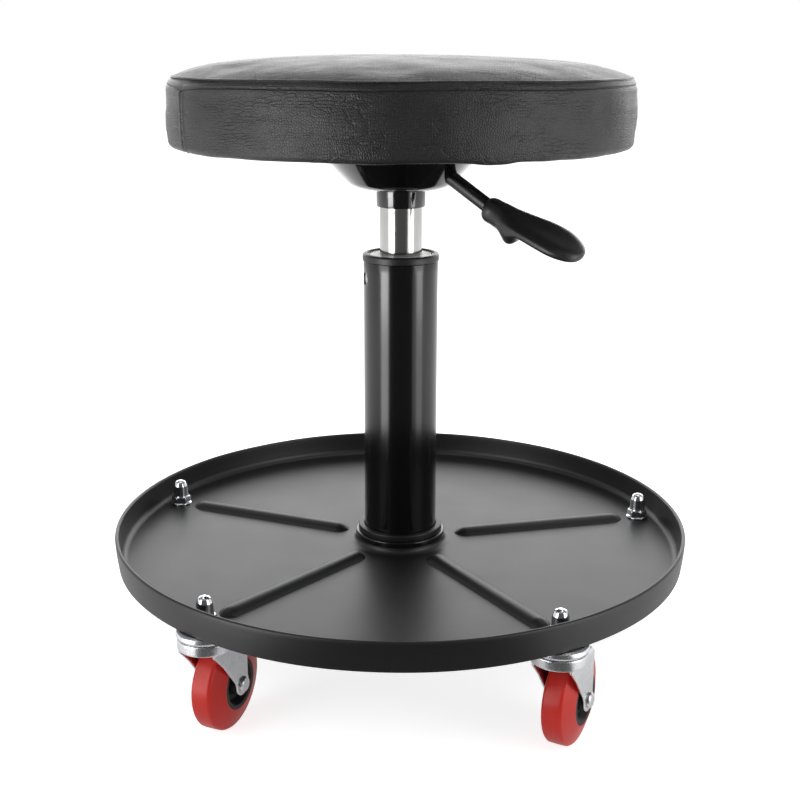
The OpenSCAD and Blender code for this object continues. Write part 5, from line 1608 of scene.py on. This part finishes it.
class SEAT_OT_fasteners(bpy.types.Operator):
    """Builds the dome nuts on the tray and the top plates of the swivels"""
    bl_idname = "work_seat.fasteners"
    bl_label = "Dome nuts and top plates"

    def execute(self, context):
        z = context.scene.caster_sizes
        lo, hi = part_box("dome_nuts")
        nut = mesh_object("dome_nuts_set", joined(*self.nut(lo.z, hi.z)), sharp=28)
        self.ring_of(z, nut, polished_chrome())
        seated(nut, "base", "chrome_tube", "dome_nuts")

        lo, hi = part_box("caster_top_plates")
        r, seat_z = z.plate, low("tray").z - 0.3 * MM
        profile = corners([(PLATE_BORE, lo.z, 0), (RACE_RADIUS, lo.z, 0.3 * MM),
                           (RACE_RADIUS, RACE_Z, 0.3 * MM), (r - 0.9 * MM, RACE_Z, 0.5 * MM),
                           (r, RACE_Z + 1.6 * MM, 1.2 * MM),
                           (r - 0.5 * MM, seat_z - 0.9 * MM, 1.0 * MM), (r - 2.2 * MM, seat_z, 0.8 * MM),
                           (PLATE_SEAT, seat_z, 0), (PLATE_SEAT, hi.z, 0.2 * MM), (PLATE_BORE, hi.z, 0)], 6)
        plate = mesh_object("top_plates", turned(profile, 72))
        self.ring_of(z, plate, bright_zinc())
        seated(plate, "base", "zinc_steel", "caster_top_plates")
        return {"FINISHED"}

    def ring_of(self, z, obj, material):
        """One copy over each caster."""
        repeated(obj, ring_tree, Count=len(CASTERS), Radius=z.circle, Start=FIRST_RIB, Material=material)

    def nut(self, floor, top):
        """Flange, domed cap and hexagon of a nut that stands on the tray."""
        flange, dome = ([(r, h + base, e) for r, h, e in rows]
                        for rows, base in ((NUT_FLANGE, floor), (NUT_FOOT, floor)))
        dome += [(r, h + top, e) for r, h, e in NUT_TOP]
        count, verts = 96, []
        for h, most in HEX_CHAMFER:
            for q in range(count):
                a = TAU * q / count
                off = (a + math.pi / 6) % (math.pi / 3) - math.pi / 6
                r = min(HEX_FLAT / math.cos(off), most)
                verts.append((r * math.cos(a), r * math.sin(a), floor + h))
        return (turned(corners(flange, 4, closed=False), 60, closed=False),
                turned(corners(dome, 6, closed=False), 60, closed=False),
                (verts, skin(len(HEX_CHAMFER), count)))


class SEAT_OT_inner(bpy.types.Operator):
    """Gives each CAD node that stays in view the finish of its real material"""
    bl_idname = "work_seat.inner"
    bl_label = "Inner parts"

    def execute(self, context):
        finishes = {"seat_foam": foam, "seat_board": plywood, "dust_cloth": dust_fabric,
                    "insert_nuts": bright_zinc, "lever_pivot_pin": bearing_steel, "rod_guide": acetal,
                    "valve_block": turned_brass, "release_pin": bearing_steel, "piston_rod": ground_chrome,
                    "piston": turned_aluminium, "rubber_bumper": bumper_rubber,
                    "thrust_washer_upper": bearing_steel, "thrust_washer_lower": bearing_steel,
                    "retaining_clip": spring_steel, "thrust_balls": bearing_steel, "ball_cage": turned_brass,
                    "guide_bushing": acetal, "caster_stems": bright_zinc, "swivel_balls": bearing_steel}
        for name, node in frame["nodes"].items():
            if node.hide_render:
                continue
            if name not in finishes:
                raise RuntimeError(f"{name} is in view and has no finish")
            m = finishes[name]()
            if node.material_slots:
                for s in node.material_slots:
                    s.material = m
            else:
                node.data.materials.append(m)
        return {"FINISHED"}


# ---------------------------------------------------------------- the studio

def sector(name, r0, r1, a0, a1, z0, z1, steps=40):
    """A sheet that runs along an arc: flat where both heights are the same, upright where both radii are."""
    verts = []
    for q in range(steps + 1):
        a = a0 + (a1 - a0) * q / steps
        verts += [(r0 * math.cos(a), r0 * math.sin(a), z0), (r1 * math.cos(a), r1 * math.sin(a), z1)]
    faces = [(2 * q, 2 * q + 2, 2 * q + 3, 2 * q + 1) for q in range(steps)]
    return mesh_object(name, (verts, faces), outward=False)


def seen_only_in_gloss(obj):
    """Hides a sheet from every ray but a glossy one."""
    obj.visible_camera = obj.visible_diffuse = obj.visible_shadow = obj.visible_transmission = False
    obj.visible_volume_scatter = False


def glowing(name, strength):
    """A sheet that only gives light, of one level."""
    m = bpy.data.materials.new(name)
    t = blank(m)
    light = add(t, "ShaderNodeEmission", (), {"Color": (1, 1, 1, 1), "Strength": strength})
    add(t, "ShaderNodeOutputMaterial", (), {"Surface": light.outputs[0]})
    return m


class SEAT_OT_stage(bpy.types.Operator):
    """Builds the studio: pale floor, soft lamps, the black flag in front and the camera"""
    bl_idname = "work_seat.stage"
    bl_label = "Studio and camera"

    def execute(self, context):
        z = context.scene.stage_sizes
        scene = context.scene
        eye, aim = Vector(z.eye), Vector(z.aim)
        cam = bpy.data.cameras.new("camera")
        cam.lens, cam.sensor_width, cam.clip_start = z.lens, 36, 0.01
        camera = bpy.data.objects.new("camera", cam)
        look = (aim - eye).to_track_quat("-Z", "Y")
        camera.matrix_world = (Matrix.Translation(eye) @ look.to_matrix().to_4x4()
                               @ Matrix.Rotation(z.roll, 4, "Z"))
        scene.collection.objects.link(camera)
        scene.camera = camera
        scene.view_settings.view_transform = "Standard"

        facing = math.atan2(eye.y, eye.x)
        for name, turn, wide, level in (("lamp_left", z.left, 0.86, z.radiance),
                                        ("lamp_right", z.right, 0.80, z.radiance * 0.95)):
            a = facing + turn
            where = Vector((z.reach * math.cos(a), z.reach * math.sin(a), 0.80))
            self.lamp(scene, name, where, where.z, wide=wide, tall=1.5, radiance=level)
        self.lamp(scene, "lamp_top", Vector((0, 0.35, 1.7)), 0.25, wide=1.3, tall=0.9,
                  radiance=z.radiance * 0.55)
        self.lamp(scene, "lamp_back", Vector((0, 1.6, 0.82)), 0.82, wide=3.0, tall=0.95, radiance=z.back)

        # What the glossy parts see low in front: a black flag, a bright strip on each side, white boards.
        # The sheets lie just over the floor, one above the other. Their ends are angles from the camera.
        board, flag, strip = 0.5 * MM, 0.6 * MM, 0.8 * MM
        left, right = (-1.09, -0.66), (0.86, 1.22)
        low_stage = (("flag_up", 1.3, 1.3, 0.0, 1.3, (-z.flag, z.flag), z.flag_level),
                     ("flag_flat", 0.235, 1.3, flag, flag, (-z.flag, z.flag), z.flag_level),
                     ("strip_left", 0.4, 1.1, strip, strip, left, z.strip * 0.45),
                     ("strip_right", 0.4, 1.1, strip, strip, right, z.strip * 0.25),
                     ("far_strip_left", 1.1, 2.6, strip, strip, left, z.strip),
                     ("far_strip_right", 1.1, 2.6, strip, strip, right, z.strip * 0.5),
                     ("board_left", 1.16, 2.2, board, board, (-1.25, -0.66), 1.3),
                     ("board_right", 1.16, 2.2, board, board, (0.68, 1.3), 1.3))
        for name, r0, r1, z0, z1, (a0, a1), level in low_stage:
            sheet = sector(name, r0, r1, facing + a0, facing + a1, z0, z1)
            sheet.data.materials.append(glowing(name.replace("_", " "), level))
            seen_only_in_gloss(sheet)

        floor = sector("floor", 0.0, 6.0, 0, TAU, 0.0, 0.0, 96)
        floor.data.materials.append(self.floor_paper())
        self.sky(scene)
        return {"FINISHED"}

    def lamp(self, scene, name, where, aim_z, wide, tall, radiance):
        """A soft rectangle of light that faces a point of the column's axis."""
        data = bpy.data.lights.new(name, "AREA")
        data.shape, data.size, data.size_y = "RECTANGLE", wide, tall
        data.energy = radiance * math.pi * wide * tall
        obj = bpy.data.objects.new(name, data)
        face = (Vector((0, 0, aim_z)) - where).to_track_quat("-Z", "Y")
        obj.matrix_world = Matrix.Translation(where) @ face.to_matrix().to_4x4()
        obj.visible_camera = False
        scene.collection.objects.link(obj)

    def floor_paper(self):
        """White paper: it takes the object's shadow and glows to pure white in the picture and in gloss."""
        m = bpy.data.materials.new("White backdrop paper")
        t = blank(m)
        paper = add(t, "ShaderNodeBsdfDiffuse", (), {"Color": (0.8, 0.8, 0.8, 1)})
        path = add(t, "ShaderNodeLightPath")
        gloss = maths(t, "MAXIMUM", path.outputs["Is Glossy Ray"], path.outputs["Is Transmission Ray"])
        co = add(t, "ShaderNodeTexCoord")
        away = add(t, "ShaderNodeVectorMath", {"operation": "LENGTH"},
                   {0: co.outputs["Object"]}).outputs["Value"]
        seen = maths(t, "MULTIPLY", path.outputs["Is Camera Ray"], between(t, away, 0.2, 0.5, 0.76, 1.0))
        shown = maths(t, "MULTIPLY", gloss, between(t, away, 0.22, 0.7, 0.3, 0.6))
        glow = add(t, "ShaderNodeEmission", (), {"Strength": maths(t, "ADD", seen, shown)})
        both = add(t, "ShaderNodeAddShader", (), {0: paper.outputs[0], 1: glow.outputs[0]})
        add(t, "ShaderNodeOutputMaterial", (), {"Surface": both.outputs[0]})
        return m

    def sky(self, scene):
        """White in the picture, white near the horizon and greyer above in gloss, plain elsewhere."""
        world = bpy.data.worlds.new("studio")
        scene.world = world
        t = blank(world)
        path = add(t, "ShaderNodeLightPath")
        co = add(t, "ShaderNodeTexCoord")
        up = add(t, "ShaderNodeSeparateXYZ", (), {0: co.outputs["Generated"]}).outputs["Z"]
        gloss = between(t, up, 0.22, 0.52, 1.0, 0.3)
        mirror = maths(t, "MAXIMUM", path.outputs["Is Glossy Ray"], path.outputs["Is Transmission Ray"])
        level = add(t, "ShaderNodeMix", {"data_type": "FLOAT"}, {0: mirror, 2: 0.42, 3: gloss}).outputs[0]
        level = add(t, "ShaderNodeMix", {"data_type": "FLOAT"},
                    {0: path.outputs["Is Camera Ray"], 2: level, 3: 1.0}).outputs[0]
        back = add(t, "ShaderNodeBackground", (), {"Color": (1, 1, 1, 1), "Strength": level})
        add(t, "ShaderNodeOutputWorld", (), {"Surface": back.outputs[0]})


class SEAT_PT_panel(bpy.types.Panel):
    """Lists the sizes and the steps of the work seat"""
    bl_label = "Work seat"
    bl_idname = "SEAT_PT_panel"
    bl_space_type = "VIEW_3D"
    bl_region_type = "UI"
    bl_category = "Work seat"

    def draw(self, context):
        for name, group in GROUPS.items():
            box = self.layout.box()
            box.label(text=group.__name__)
            for key in group.__annotations__:
                box.prop(getattr(context.scene, name), key)
        for step in STEPS:
            self.layout.operator(step.bl_idname)


STEPS = (SEAT_OT_stage, SEAT_OT_cushion, SEAT_OT_underside, SEAT_OT_bowl, SEAT_OT_lever, SEAT_OT_lift,
         SEAT_OT_tray, SEAT_OT_casters, SEAT_OT_fasteners, SEAT_OT_inner)
CLASSES = tuple(GROUPS.values()) + STEPS + (SEAT_PT_panel,)


def register():
    for c in CLASSES:
        bpy.utils.register_class(c)
    for name, group in GROUPS.items():
        setattr(bpy.types.Scene, name, bpy.props.PointerProperty(type=group))


def unregister():
    for name in GROUPS:
        delattr(bpy.types.Scene, name)
    for c in reversed(CLASSES):
        bpy.utils.unregister_class(c)


def main():
    register()
    for step in STEPS:
        family, name = step.bl_idname.split(".")
        getattr(getattr(bpy.ops, family), name)()


if __name__ == "__main__":
    main()
